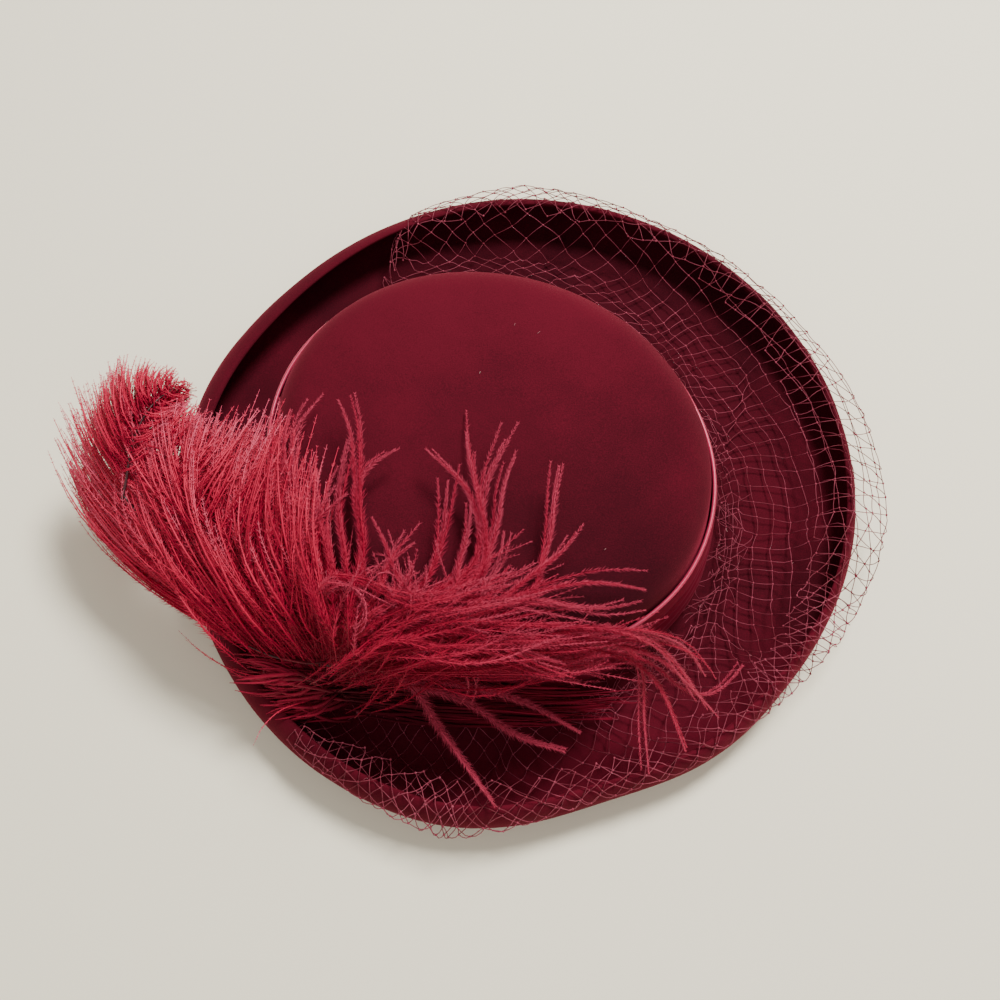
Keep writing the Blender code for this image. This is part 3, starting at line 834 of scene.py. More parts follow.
def barbs(paths, seed, stem, fringe, spacing, lean=(25, 48), width=0.00017, shade=0.0, flat=0.45, bias=1.0):
    """Stems and barbules along paths, with their shade from root to tip and a tint for each barb.

    stem and width are radii, fringe is a barbule's length, lean its angle to the stem in degrees, and a
    bias under 1 moves the barbules towards the tip.
    """
    random = np.random.default_rng(seed)
    count, stations = paths.shape[:2]
    along = np.linspace(0, 1, stations)
    # A stem swells over its first third and runs out thin
    profile = (0.4 + 0.6 * np.minimum(1, along * 3)) * (1 - 0.85 * along**2.2)
    stems = tubes(paths, stem * profile * random.uniform(0.6, 1.25, (count, 1)), STEM_SIDES, flat)
    tint = random.uniform(0, 1, count)
    number = (np.linalg.norm(np.diff(paths, axis=1), axis=2).sum(1) / spacing).astype(int)
    owner = np.repeat(np.arange(count), number)
    first = np.repeat(np.cumsum(number) - number, number)
    at = (np.arange(len(owner)) - first + random.uniform(0, 1, len(owner))) / number[owner]
    owner, at = np.tile(owner, 2), (np.tile(at, 2) ** bias).clip(0.02, 0.995)
    hand = np.repeat([1, -1], len(owner) // 2)
    root, ahead, side, up = fringe_frames(paths, owner, at)
    roll = random.uniform(-0.8, 0.8, len(at))[:, None]
    tilt = np.radians(random.uniform(*lean, len(at)))[:, None]
    away = (side * np.cos(roll) * hand[:, None] + up * np.sin(roll)) * np.sin(tilt) + ahead * np.cos(tilt)
    away = unit(away + random.normal(0, 0.10, away.shape))
    # Barbules are short at the root and at the tip
    size = fringe * np.minimum(1, at * 9) * (1 - 0.72 * at**3) * random.uniform(0.55, 1.15, len(at))
    across = unit(np.cross(away, up))
    other = np.cross(away, across) * 0.5
    matrices = np.stack([across * width, other * width, away * size[:, None], root], axis=2)
    shades = [
        np.tile(along * SHADE_RUN + shade, (count, 1)).repeat(STEM_SIDES, 1).ravel(),
        np.repeat(at * SHADE_RUN + shade, SPIKE_POINTS) + np.tile([0, 0, 0, TIP_SHADE], len(at)),
    ]
    tints = [np.repeat(tint, stations * STEM_SIDES), np.repeat(tint[owner], SPIKE_POINTS)]
    return [stems, copies(spike, matrices)], shades, tints


def feather_piece(name, parts):
    """One mesh of several lots of barbs, with their shades and tints."""
    groups, shades, tints = (sum(lots, []) for lots in zip(*parts))
    return joined(name, groups, {"shade": shades, "tint": tints})


# %% [markdown]
# Feathers lie on the crown and never in it. A station that would fall inside the crown is moved out past
# its wall, or up onto its top, whichever is nearer.

# %% Keeping clear of the crown
CROWN_TOP, ON_CROWN = 0.0855, 0.0858
# Above the band the barbs come closer to the wall
ABOVE_BAND, PAST_BAND, PAST_WALL = 0.062, 0.005, 0.0015


def clear_of_crown(paths):
    flat = paths.reshape(-1, 3).copy()
    away = flat[:, :2] - np.array(crown_middle)[:2]
    reach = np.hypot(away[:, 0], away[:, 1])
    height = flat[:, 2]
    wall = wall_reach(np.degrees(np.arctan2(away[:, 1], away[:, 0])), height)
    wall = wall + np.where(height < ABOVE_BAND, PAST_BAND, PAST_WALL)
    inside = (reach < wall) & (height < CROWN_TOP)
    out = inside & (wall - reach < CROWN_TOP - height)
    flat[out, :2] += away[out] / reach[out, None] * (wall - reach)[out, None]
    flat[inside & ~out, 2] = ON_CROWN
    moved = flat.reshape(paths.shape)
    moved[:, 1:-1] = (moved[:, :-2] + 2 * moved[:, 1:-1] + moved[:, 2:]) / 4
    return moved


# %% [markdown]
# Most barbs lie combed side by side. So a few guide barbs are read from the view, and the rest are spread
# between them. Ostrich barbs cling together at their tips, so each clump of barbs closes up there.


# %% Combed barbs
def part_way(paths, row, where):
    """Points between the stations of the paths in those rows."""
    low = where.astype(int).clip(0, STATIONS - 2)
    part = (where - low)[..., None]
    return paths[row, low] * (1 - part) + paths[row, low + 1] * part


def combed(guides, count, seed, clump=4, wander=0.0018, depth=(-0.006, 0.003), ends=(0.8, 1.04),
           roots=0.002, wave=0.6):
    """Barb paths between guide barbs: each follows two neighbours and closes up with its clump at the tip.

    wander and roots are how far tips and roots stray, depth how far middles sink or rise, ends the range
    of lengths as shares of the guides', and wave how much barbs ripple beside how far they stray.
    """
    random = np.random.default_rng(seed)
    guides = np.array([smooth_path(in_view(guide), STATIONS) for guide in guides])
    count -= count % clump
    at = np.sort(random.uniform(0, len(guides) - 1, count))
    middle = at.reshape(-1, clump).mean(1).repeat(clump)
    along = np.linspace(0, 1, STATIONS)
    mix = (at[:, None] + (middle - at)[:, None] * along**2 * CLING).clip(0, len(guides) - 1.001)
    low = mix.astype(int)
    part = (mix - low)[..., None]
    station = np.arange(STATIONS)
    paths = guides[low, station] * (1 - part) + guides[low + 1, station] * part
    paths[:, :, 2] += random.uniform(*depth, count)[:, None] * np.sin(np.pi * (0.15 + 0.6 * along))
    drift = random.normal(0, wander, (count, 1, 3)) * along[:, None] ** 1.5
    drift = drift + random.normal(0, roots, (count, 1, 3)) * (1 - along[:, None]) ** 2
    ripple = random.uniform(3, 7, (count, 1)) * along + random.uniform(0, 6, (count, 1))
    curl = random.normal(0, wave * wander, (count, 1, 3)) * np.sin(ripple)[..., None]
    paths = paths + drift + curl
    end = random.uniform(*ends, count)
    start = random.uniform(0, 0.06, count)
    where = (start[:, None] + (end - start)[:, None] * along) * (STATIONS - 1)
    return clear_of_crown(part_way(paths, np.arange(count)[:, None], where))


def layer(guides, count, seed, make, **ways):
    """A layer of combed barbs of one make, which gives the sizes that barbs takes."""
    return barbs(combed(guides, count, seed, **ways), seed + 1, **make)


# %% [markdown]
# Dyed ostrich is matte and translucent. Roots are dark because they lie in the shade of the mass, and the
# fringe lights up towards the tips, so the colour follows the value named shade that each point carries.

# %% Dyed ostrich
TINT_SHARE = 0.32


def dyed_barbs(name, stops):
    material, tree, shader = new_finish(
        name, Roughness=0.55, Specular_IOR_Level=0.25, Specular_Tint=colour("#f08098"),
        Sheen_Weight=0.15, Sheen_Roughness=0.4, Sheen_Tint=colour("#e04060"),
    )
    shade = add_node(tree, "ShaderNodeAttribute", {"attribute_name": "shade"})
    tint = add_node(tree, "ShaderNodeAttribute", {"attribute_name": "tint"})
    varied = add_node(
        tree, "ShaderNodeMath", {"operation": "MULTIPLY_ADD", 1: TINT_SHARE},
        {0: tint.outputs["Fac"], 2: shade.outputs["Fac"]},
    )
    dye = add_node(tree, "ShaderNodeValToRGB", links={"Fac": varied.outputs[0]}, stops=stops)
    tree.links.new(dye.outputs["Color"], shader.inputs["Base Color"])
    return material


plume_dye = dyed_barbs("dyed_ostrich", {0.0: "#70061f", 0.40: "#b41c3c", 0.80: "#d63855", 1.0: "#e8617c"})
spray_dye = dyed_barbs(
    "dyed_ostrich_deeper", {0.0: "#60061c", 0.40: "#9c1632", 0.80: "#ac2842", 1.0: "#b63e56"}
)
under_dye = dyed_barbs("dyed_smooth_barbs", {0.05: "#2c020b", 0.6: "#440512", 1.0: "#8e1a32"})

# %% [markdown]
# ## The plume
# The plume curls off the brim's left edge. Its guide barbs are read from the view, root first: one row
# sweeps out along the lower edge to the upper left, the next comb up and right onto the crown, and a small
# fan grows from the dark quill at the curled tip.

# %% The plume, guide barbs
# Each point is across and down the view, in pixels of 1000, and its height above the table in mm
SWEEP = [
    [(312, 662, 38), (205, 622, 38), (132, 573, 40), (88, 525, 42), (68, 470, 42)],
    [(300, 655, 41), (215, 608, 46), (140, 550, 50), (86, 485, 52), (60, 437, 52)],
    [(282, 640, 45), (205, 585, 54), (132, 512, 60), (86, 446, 62), (70, 397, 60)],
    [(255, 618, 50), (195, 560, 60), (138, 492, 66), (100, 430, 68), (86, 383, 66)],
    [(232, 595, 55), (185, 535, 65), (143, 472, 71), (117, 415, 73), (108, 368, 70)],
    [(215, 572, 60), (180, 518, 69), (152, 458, 75), (132, 405, 77), (126, 362, 72)],
]
COMB = [
    [(172, 440, 74), (178, 430, 76), (186, 421, 77), (194, 413, 77)],
    [(172, 462, 76), (183, 444, 79), (196, 429, 80), (208, 417, 80)],
    [(175, 491, 76), (197, 467, 82), (218, 440, 84), (234, 415, 84)],
    [(192, 512, 76), (213, 478, 84), (236, 443, 87), (252, 416, 87)],
    [(212, 533, 74), (227, 492, 84), (248, 452, 89), (268, 418, 90)],
    [(235, 560, 70), (246, 512, 84), (266, 464, 91), (286, 414, 92)],
    [(262, 595, 62), (263, 540, 80), (273, 480, 91), (291, 412, 94)],
    [(285, 625, 54), (283, 570, 78), (286, 512, 90), (294, 448, 94)],
    [(308, 648, 48), (305, 600, 74), (303, 548, 88), (308, 488, 93)],
    [(330, 662, 44), (326, 620, 68), (322, 572, 86), (326, 512, 92)],
]
BACK_COMB = [
    [(172, 445, 75), (160, 432, 78), (150, 418, 79), (146, 404, 79)],
    [(173, 465, 76), (157, 458, 77), (142, 448, 76), (134, 432, 75)],
    [(176, 488, 75), (155, 484, 75), (138, 474, 73), (124, 455, 71)],
    [(200, 520, 72), (170, 508, 72), (142, 490, 70), (116, 462, 68)],
    [(240, 572, 64), (200, 545, 67), (158, 512, 66), (118, 470, 64)],
]
MIDDLE = [
    [(245, 645, 43), (182, 592, 56), (146, 540, 64), (126, 490, 70), (124, 440, 74)],
    [(262, 650, 44), (203, 592, 58), (166, 532, 67), (148, 475, 74), (152, 424, 77)],
    [(285, 655, 45), (226, 592, 62), (188, 530, 73), (172, 472, 79), (184, 414, 80)],
    [(305, 660, 45), (250, 594, 66), (216, 530, 77), (212, 470, 84), (232, 417, 86)],
    [(320, 663, 46), (273, 596, 70), (244, 534, 80), (244, 474, 87), (262, 417, 89)],
    [(330, 664, 46), (296, 598, 72), (272, 538, 83), (274, 480, 90), (288, 420, 92)],
    [(336, 664, 46), (316, 606, 72), (298, 548, 85), (296, 500, 91), (304, 446, 93)],
    [(340, 664, 46), (334, 612, 72), (322, 560, 86), (318, 522, 91), (324, 480, 93)],
]
RIDGE = [
    [(190, 540, 68), (160, 500, 73), (146, 462, 76), (138, 432, 78)],
    [(200, 540, 70), (174, 500, 75), (160, 460, 78), (154, 418, 79)],
    [(212, 540, 72), (186, 500, 77), (174, 455, 80), (170, 408, 80)],
    [(225, 540, 73), (198, 500, 79), (188, 455, 82), (190, 406, 82)],
]
TIP_QUILL = [(122, 500, 71), (126, 482, 74), (130, 456, 78), (139, 426, 80), (154, 403, 80), (176, 387, 76)]
TIP_LEFT = [
    [(127, 480, 75), (112, 462, 76), (98, 436, 75), (90, 400, 70)],
    [(130, 456, 78), (116, 434, 79), (106, 406, 77), (103, 374, 72)],
    [(136, 434, 80), (124, 410, 80), (119, 386, 78), (121, 360, 73)],
    [(145, 414, 80), (138, 396, 80), (137, 380, 77), (141, 362, 73)],
    [(156, 401, 80), (152, 387, 79), (154, 376, 77), (160, 366, 74)],
    [(172, 389, 77), (171, 381, 76), (175, 375, 74), (182, 372, 72)],
]
TIP_RIGHT = [
    [(127, 478, 75), (135, 474, 75), (144, 466, 74), (152, 456, 73)],
    [(131, 452, 79), (141, 448, 79), (152, 441, 78), (160, 432, 76)],
    [(139, 426, 80), (150, 426, 80), (162, 422, 79), (172, 415, 77)],
    [(152, 405, 80), (162, 408, 79), (173, 408, 78), (184, 404, 75)],
    [(170, 390, 77), (177, 393, 76), (183, 394, 75), (189, 394, 73)],
    [(178, 384, 76), (183, 382, 76), (188, 383, 75), (192, 386, 74)],
]
TIP_BED = [
    [(127, 444, 74), (128, 424, 75), (130, 402, 74), (134, 378, 70)],
    [(138, 432, 74), (139, 412, 74), (142, 392, 73), (146, 372, 70)],
    [(144, 427, 74), (149, 410, 74), (156, 392, 73), (163, 374, 70)],
    [(150, 422, 74), (160, 406, 74), (170, 390, 73), (181, 377, 70)],
    [(156, 418, 74), (168, 406, 74), (180, 396, 73), (190, 388, 70)],
]
UNDER_TIP = [
    [(150, 440, 74), (160, 424, 75), (170, 410, 75), (180, 398, 73)],
    [(158, 446, 75), (168, 432, 76), (180, 418, 76), (192, 406, 74)],
    [(166, 450, 76), (178, 438, 77), (190, 426, 77), (202, 414, 76)],
]
# Single barbs that stray from the rest
STRAYS = [
    [(300, 660, 38), (200, 615, 38), (126, 562, 40), (88, 522, 42), (74, 488, 42)],
    [(205, 575, 50), (120, 500, 56), (76, 430, 56), (58, 402, 54)],
    [(300, 676, 36), (245, 674, 35), (205, 655, 34), (178, 630, 34)],
    [(300, 682, 35), (240, 676, 34), (214, 660, 34), (186, 640, 34)],
    [(310, 700, 32), (278, 712, 34), (262, 728, 34), (253, 746, 32)],
]
print("guide barbs:", sum(len(guides) for guides in (SWEEP, COMB, MIDDLE, TIP_LEFT, TIP_RIGHT)))

# %% The plume, its makes of barb
# In metres: stem and barbule radii, barbule length and spacing
LONG_BARB = {"stem": 0.00068, "fringe": 0.0040, "spacing": 0.0030, "flat": 0.35}
SLIM_BARB = {"stem": 0.00052, "fringe": 0.0042, "spacing": 0.0028, "flat": 0.35}
COMB_BARB = {"stem": 0.00056, "fringe": 0.0040, "spacing": 0.0026, "flat": 0.35}
LOW_BARB = {"stem": 0.00052, "fringe": 0.0040, "spacing": 0.0030}
STRAY_BARB = {"stem": 0.00030, "fringe": 0.0016, "spacing": 0.0020}
LOOSE_BARB = {"stem": 0.00040, "fringe": 0.0046, "spacing": 0.0018, "width": 0.00014}
RIDGE_BARB = {"stem": 0.00050, "fringe": 0.0034, "spacing": 0.0024, "width": 0.00014}
TIP_LEFT_BARB = {"stem": 0.00044, "fringe": 0.0024, "spacing": 0.0015}
TIP_RIGHT_BARB = {"stem": 0.00036, "fringe": 0.0020, "spacing": 0.0015}
TIP_BED_BARB = {"stem": 0.00048, "fringe": 0.0026, "spacing": 0.0018, "shade": -0.10}
UNDER_TIP_BARB = {"stem": 0.00050, "fringe": 0.0028, "spacing": 0.0018}
BACK_BARB = {"stem": 0.00050, "fringe": 0.0030, "spacing": 0.0022}
# The plume's side towards the crown lies in its own shade
IN_SHADE, DEEP_IN_SHADE = {"shade": -0.20}, {"shade": -0.22}

# %% The plume, sweep
strays = np.array([smooth_path(in_view(stray), STATIONS) for stray in STRAYS])
sweep = feather_piece("sweep", [
    layer(SWEEP, 272, 11, LONG_BARB | {"spacing": 0.0032}, depth=(-0.014, 0.002), wave=0.8),
    layer(SWEEP, 112, 13, SLIM_BARB, wander=0.0038, ends=(0.55, 0.98)),
    layer(SWEEP[:3], 48, 17, LOW_BARB, wander=0.0024, ends=(0.75, 1.05)),
    barbs(strays, 15, **STRAY_BARB),
])
finish_piece(sweep, "plume_sweep", "ostrich_barbs", plume_dye, "ostrich_plume")

# %% The plume, comb
comb = feather_piece("comb", [
    layer(MIDDLE[:5], 140, 21, LONG_BARB, wander=0.0028, depth=(-0.010, 0.002), wave=0.8),
    layer(MIDDLE[4:], 108, 41, LONG_BARB | IN_SHADE, wander=0.0034, depth=(-0.010, 0.002), wave=0.9),
    layer(COMB[:6], 92, 27, COMB_BARB, wander=0.0030, depth=(-0.008, 0.003)),
    layer(COMB[5:], 72, 37, COMB_BARB | DEEP_IN_SHADE, wander=0.0040, depth=(-0.008, 0.003),
          ends=(0.6, 1.04)),
    layer(MIDDLE, 70, 29, LOOSE_BARB, clump=2, wander=0.0050, ends=(0.5, 0.95)),
    layer(RIDGE, 72, 19, RIDGE_BARB, wander=0.0022),
])
finish_piece(comb, "plume_comb", "ostrich_barbs", plume_dye)

# %% The plume, curled tip
tip = feather_piece("tip", [
    layer(TIP_LEFT, 120, 31, TIP_LEFT_BARB, clump=3, wander=0.001),
    layer(TIP_RIGHT, 150, 33, TIP_RIGHT_BARB, clump=2, wander=0.0010),
    layer(TIP_BED, 92, 39, TIP_BED_BARB, wander=0.0014),
    layer(UNDER_TIP, 60, 35, UNDER_TIP_BARB, wander=0.0016),
    layer(BACK_COMB, 120, 23, BACK_BARB, depth=(-0.006, 0.002)),
])
finish_piece(tip, "plume_tip", "ostrich_barbs", plume_dye)

# %% [markdown]
# ## The spray
# Loose barbs of a second feather fan out over the crown and the front of the brim. They stand apart, so
# each one is drawn by itself, root first. All of them run back through the fuzzy mass to the tie at the left.

# %% The spray, drawn fronds
FRONDS = [
    [(300, 560, 84), (286, 482, 90), (286, 424, 92), (291, 410, 92)],
    [(300, 530, 86), (292, 470, 92), (298, 424, 94), (312, 407, 94)],
    [(362, 560, 88), (357, 508, 92), (354, 468, 95), (349, 426, 97), (338, 400, 97)],
    [(345, 560, 88), (337, 508, 91), (340, 477, 94), (347, 440, 95)],
    [(362, 540, 88), (357, 484, 94), (372, 464, 96), (395, 450, 96)],
    [(330, 560, 87), (320, 513, 90), (316, 488, 92), (317, 470, 92)],
    [(300, 560, 86), (310, 532, 89), (334, 504, 93), (347, 494, 93)],
    [(425, 612, 87), (399, 580, 90), (384, 541, 93), (372, 518, 94)],
    [(380, 588, 88), (392, 560, 91), (403, 551, 92), (414, 543, 92)],
    [(487, 562, 90), (477, 520, 94), (465, 487, 97), (446, 468, 98), (426, 449, 98)],
    [(482, 572, 90), (483, 518, 94), (476, 491, 97), (468, 456, 98), (466, 432, 98)],
    [(476, 562, 90), (480, 515, 94), (483, 488, 96), (494, 463, 97), (505, 440, 98)],
    [(473, 582, 89), (487, 558, 91), (498, 524, 94), (504, 485, 96), (515, 457, 97)],
    [(431, 574, 89), (440, 547, 92), (445, 513, 95), (448, 481, 96)],
    [(455, 592, 89), (459, 564, 91), (468, 536, 94), (471, 502, 96)],
    [(480, 602, 89), (487, 583, 90), (498, 564, 92), (504, 532, 93)],
    [(535, 592, 89), (543, 560, 92), (549, 541, 93), (553, 502, 96), (559, 466, 97)],
    [(494, 615, 88), (509, 595, 89), (536, 571, 92), (564, 550, 94), (583, 525, 96)],
    [(500, 602, 88), (536, 592, 90), (572, 584, 92), (606, 583, 93), (645, 590, 92)],
    [(480, 606, 88), (510, 598, 89), (564, 604, 90), (603, 609, 91), (641, 601, 91)],
    [(430, 602, 88), (480, 598, 90), (536, 604, 91), (580, 608, 91)],
    [(330, 577, 86), (364, 581, 89), (400, 597, 90), (437, 600, 91), (476, 590, 93), (510, 585, 94)],
    [(420, 606, 88), (454, 611, 89), (476, 620, 89), (501, 622, 89)],
    [(385, 641, 82), (414, 640, 84), (448, 648, 84), (493, 643, 86), (560, 662, 76)],
    [(440, 630, 86), (480, 634, 86), (508, 646, 84), (536, 657, 80), (565, 664, 76)],
    [(520, 625, 86), (564, 626, 86), (606, 627, 85), (648, 638, 76), (676, 662, 60), (702, 699, 44)],
    [(600, 630, 84), (640, 631, 79), (665, 637, 72), (687, 648, 62), (702, 669, 52)],
    [(560, 635, 82), (600, 640, 76), (622, 645, 71), (642, 670, 56), (644, 720, 40), (649, 775, 34)],
    [(600, 650, 70), (640, 665, 60), (662, 688, 50), (675, 718, 42), (687, 748, 36)],
    [(580, 640, 80), (626, 646, 72), (665, 662, 62), (691, 687, 50), (713, 711, 40)],
    [(650, 662, 60), (690, 694, 46), (705, 698, 44), (725, 687, 44), (743, 665, 46)],
    [(620, 640, 76), (660, 641, 70), (683, 648, 64), (696, 657, 58), (701, 671, 52)],
]
# These hang down over the brim
DROOPING = [
    [(372, 662, 54), (404, 677, 47), (440, 728, 36), (493, 801, 32)],
    [(395, 668, 52), (460, 684, 45), (520, 700, 39), (580, 733, 33)],
    [(400, 676, 50), (472, 704, 40), (520, 736, 34), (566, 749, 31)],
]
# Barbs that curl round on themselves in the fuzzy mass
CURLS = [
    [(335, 668, 46), (322, 630, 66), (316, 600, 78), (325, 580, 86), (350, 580, 88),
     (375, 590, 88), (400, 600, 88)],
    [(338, 670, 48), (330, 640, 62), (333, 618, 74), (352, 610, 80), (372, 622, 80),
     (380, 640, 76), (372, 652, 70)],
    [(340, 672, 46), (342, 650, 58), (352, 632, 68), (368, 628, 72), (384, 640, 70),
     (390, 655, 64), (384, 664, 58)],
    [(338, 668, 48), (325, 612, 72), (326, 592, 84), (345, 588, 88), (362, 606, 86),
     (358, 630, 82), (346, 636, 78)],
    [(340, 665, 50), (372, 612, 84), (392, 598, 88), (398, 575, 90), (380, 560, 90),
     (362, 570, 90), (352, 590, 88)],
    [(342, 668, 50), (400, 640, 76), (420, 618, 84), (445, 622, 84), (452, 640, 80),
     (440, 650, 76), (424, 648, 76)],
    [(342, 670, 48), (395, 655, 66), (425, 645, 74), (450, 655, 70), (470, 672, 60),
     (476, 690, 52), (470, 704, 46)],
]
print(len(FRONDS), "fronds,", len(DROOPING), "drooping ones,", len(CURLS), "curls")

# %% The spray, run back to its tie
TIE, TIE_SPREAD = (345, 655, 52), (9, 6, 3)
FROND_STATIONS = 2 * STATIONS
random_spray = np.random.default_rng(51)


def from_tie(frond):
    """The frond with its hidden run back to the tie put in front, as evenly spaced stations."""
    root = np.array(frond[0], float)
    tie = np.array(TIE, float) + random_spray.normal(0, TIE_SPREAD)
    half = tie + (root - tie) * random_spray.uniform(0.4, 0.6)
    half += (0, random_spray.uniform(-14, 10), random_spray.uniform(6, 14))
    return smooth_path(in_view([tie, half, *frond]), FROND_STATIONS)


def echoes(fronds, count, spread):
    """Copies of drawn fronds that part from them towards the tip, as the strands of one clump do."""
    made = []
    for i in range(count):
        frond = np.array(fronds[i % len(fronds)], float)
        grow = np.linspace(0.35, 1, len(frond))[:, None] ** 2
        made.append(frond + random_spray.normal(0, spread, 3) * (1, 1, 0.35) * grow)
    return made


# %% The spray, its barbs
# Fronds carry most of their fringe near their tips
TO_TIP = {"width": 0.00014, "bias": 0.65}
FROND_BARB = {"stem": 0.00044, "fringe": 0.0054, "spacing": 0.00042, "lean": (14, 34)} | TO_TIP
ECHO_BARB = {"stem": 0.00040, "fringe": 0.0050, "spacing": 0.00092, "lean": (16, 38)} | TO_TIP
DROOPING_BARB = {"stem": 0.00056, "fringe": 0.0060, "spacing": 0.00034, "lean": (18, 42), "width": 0.00018}
CURL_BARB = {"stem": 0.00045, "fringe": 0.0040, "spacing": 0.00080, "lean": (16, 38), "width": 0.00014}
# Drooping fronds and curls lie out in the light
LIT, HALF_LIT = {"shade": 0.35}, {"shade": 0.20}


def spray_paths(fronds):
    return clear_of_crown(np.array([from_tie(frond) for frond in fronds]))


drawn = spray_paths(FRONDS)
frond_echoes = spray_paths(echoes(FRONDS, count=62, spread=9))
drooping = spray_paths(DROOPING + echoes(DROOPING, count=3, spread=3))
curls = [smooth_path(in_view(curl), FROND_STATIONS) for curl in echoes(CURLS, count=21, spread=8)]
spray = feather_piece("spray", [
    barbs(drawn, 52, **FROND_BARB),
    barbs(frond_echoes, 53, **ECHO_BARB),
    barbs(drooping, 54, **DROOPING_BARB | LIT),
    barbs(clear_of_crown(np.array(curls)), 55, **CURL_BARB | HALF_LIT),
])
finish_piece(spray, "spray_fronds", "ostrich_barbs", spray_dye, "feather_spray")

# %% [markdown]
# The mass that the fronds rise from is a tangle of curled barbs along the crown's front edge.

# %% The fuzzy mass
MASS = [
    [(340, 668, 46), (352, 620, 66), (352, 580, 84), (346, 545, 90)],
    [(345, 664, 50), (390, 615, 74), (400, 580, 89), (392, 560, 92)],
    [(345, 662, 52), (410, 612, 80), (450, 590, 90), (470, 560, 93)],
    [(345, 660, 54), (420, 618, 84), (480, 604, 90), (530, 580, 92)],
    [(345, 662, 52), (420, 630, 82), (500, 618, 88), (580, 600, 90)],
    [(345, 664, 50), (430, 640, 76), (520, 634, 82), (610, 622, 84)],
    [(345, 668, 48), (430, 652, 66), (530, 646, 70), (630, 636, 72)],
    [(345, 670, 46), (430, 660, 58), (530, 655, 62), (636, 648, 64)],
    [(345, 672, 44), (430, 668, 50), (520, 664, 54), (610, 660, 56)],
]
MASS_BARB = {"stem": 0.00044, "fringe": 0.0048, "spacing": 0.00142, "lean": (16, 40), "width": 0.00015}

mass = feather_piece("mass", [
    layer(MASS, 220, 61, MASS_BARB, clump=2, wander=0.0055, depth=(-0.010, 0.006), roots=0.005, wave=1.1),
])
finish_piece(mass, "spray_mass", "ostrich_barbs", spray_dye)

# %% [markdown]
# ## Under feather
# A smoother, darker feather lies along the foot of the crown below the spray. Its barbs have hardly any
# fringe, so they show as long glossy strands.

# %% Under feather
UNDER_RIGHT = [
    [(338, 670, 44), (410, 678, 40), (500, 686, 34), (570, 690, 30), (640, 688, 27)],
    [(340, 678, 40), (412, 690, 35), (502, 697, 29), (570, 700, 25), (640, 698, 23)],
    [(342, 688, 34), (414, 704, 29), (504, 710, 23), (560, 711, 20), (622, 709, 19)],
    [(345, 698, 30), (416, 717, 24), (506, 722, 18), (555, 722, 16), (600, 718, 15)],
]
UNDER_LEFT = [
    [(338, 670, 42), (306, 662, 42), (272, 655, 41), (240, 655, 40)],
    [(338, 673, 42), (302, 672, 41), (266, 670, 39), (229, 667, 37)],
    [(338, 678, 40), (304, 682, 38), (276, 688, 36), (248, 682, 35)],
    [(340, 684, 36), (312, 698, 33), (288, 706, 32), (264, 712, 33)],
    [(345, 692, 32), (322, 708, 29), (298, 715, 28), (276, 713, 29)],
]
SMOOTH_BARB = {"stem": 0.00095, "fringe": 0.0030, "spacing": 0.0050, "lean": (8, 20), "width": 0.00016}
BROAD_BARB = {"stem": 0.00115, "fringe": 0.0030, "spacing": 0.0030, "lean": (8, 22), "width": 0.00022}
# To the right the barbs are rounder, and to the left they lie out in the light
ROUNDER, IN_LIGHT = {"flat": 0.6}, {"shade": 0.32}

under = feather_piece("under", [
    layer(UNDER_RIGHT, 120, 71, SMOOTH_BARB | ROUNDER, clump=3, wander=0.0022, depth=(-0.010, 0.002),
          ends=(0.55, 1.02), roots=0.004),
    layer(UNDER_LEFT, 110, 73, BROAD_BARB | IN_LIGHT, clump=5, wander=0.0026, depth=(-0.008, 0.002),
          ends=(0.6, 1.04), roots=0.005),
])
finish_piece(under, "under_barbs", "under_barbs", under_dye, "under_feather")
bpy.data.objects.remove(spike, do_unlink=True)

# %% [markdown]
# ## Quills
# The quills are the stiff shafts that the barbs grow from. The dark one at the plume's curled tip shows
# from above, and the others mostly lie under their barbs. Quill is dyed horn, smoother than the barbs, so
# it has a dull shine.

# %% Quills
QUILL_STATIONS, QUILL_SIDES, QUILL_END = 24, 6, 0.35
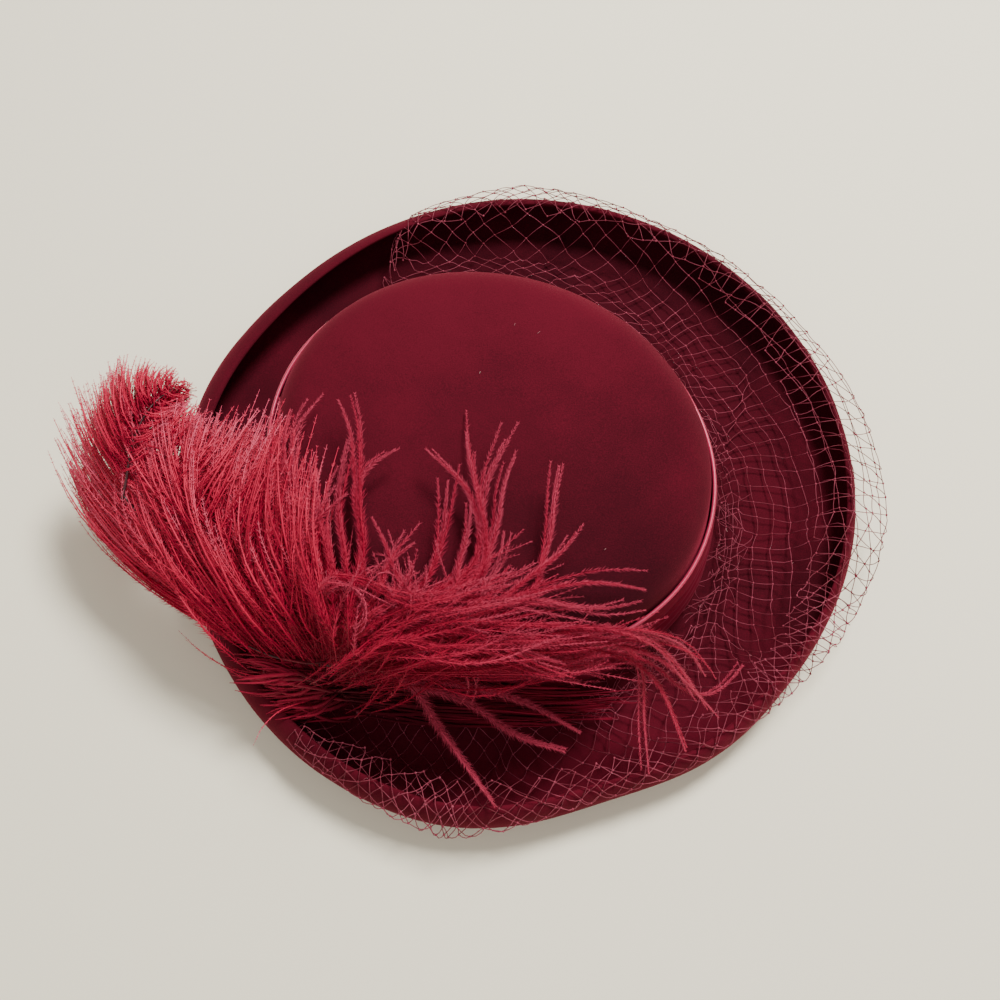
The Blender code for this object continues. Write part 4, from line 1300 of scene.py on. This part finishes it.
# Each quill's middle line, root first, and its radius in metres
QUILLS = [
    (TIP_QUILL, 0.00060),
    ([(335, 666, 46), (300, 662, 46), (272, 656, 46), (248, 646, 46)], 0.00075),
    ([(335, 664, 40), (270, 640, 40), (200, 590, 50), (160, 540, 58), (132, 506, 66), (124, 496, 70)],
     0.0011),
]
quill_paths = np.array([smooth_path(in_view(points), QUILL_STATIONS) for points, _ in QUILLS])
quill_radii = np.array([[radius] for _, radius in QUILLS]) * np.linspace(1, QUILL_END, QUILL_STATIONS)
quills = joined("quills", [tubes(quill_paths, quill_radii, QUILL_SIDES)])
quill_horn, _, _ = new_finish("dyed_quill", Base_Color=colour("#3a0a14"), Roughness=0.4)
finish_piece(quills, "plume_quills", "under_barbs", quill_horn)

# %% [markdown]
# ## Lint
# A worn velour hat picks up short pale fibres. A few lie on the crown, and some hang in the gathered net.
# Cotton lint is matte and greyish, and dulls towards the hat's own colour where it is thin.

# %% Lint
LINT_ON_CROWN = [(480, 370, 86), (515, 320, 86), (539, 328, 86), (606, 546, 86)]
LINT_IN_NET = [
    (727, 530, 15), (719, 545, 14), (720, 558, 14), (700, 605, 13), (751, 655, 12), (793, 563, 9),
]
FIBRE_REACH, FIBRE_ARCH, FIBRE = 0.00045, 0.00035, 0.00012
ON_FELT, RAY_FROM = 0.0002, 0.12
FIBRE_TONE = 0.025

random_lint = np.random.default_rng(81)
fibre_middles = in_view(LINT_ON_CROWN + LINT_IN_NET)
bend = np.linspace(-1, 1, 5)[None, :, None]
fibre_way = random_lint.normal(0, FIBRE_REACH, (len(fibre_middles), 1, 3)) * (1, 1, 0.2)
fibre_arch = random_lint.normal(0, FIBRE_ARCH, (len(fibre_middles), 1, 3)) * (1, 1, 0.2)
fibres = fibre_middles[:, None] + fibre_way * bend + fibre_arch * (1 - bend**2)
for fibre in fibres[:len(LINT_ON_CROWN)]:
    below = felt_tree.ray_cast(Vector((*fibre[2, :2], RAY_FROM)), Vector((0, 0, -1)))[0]
    fibre[:, 2] = below.z + ON_FELT
lint = joined("lint", [tubes(fibres, np.full(fibres.shape[:2], FIBRE), 4)])
cotton_lint, tree, shader = new_finish("cotton_lint", Roughness=0.9)
mottled(tree, shader, FIBRE_TONE, 1.0, {0.40: "#8a5058", 0.70: "#a88a84"})
finish_piece(lint, "lint_fibres", "net_thread", cotton_lint)
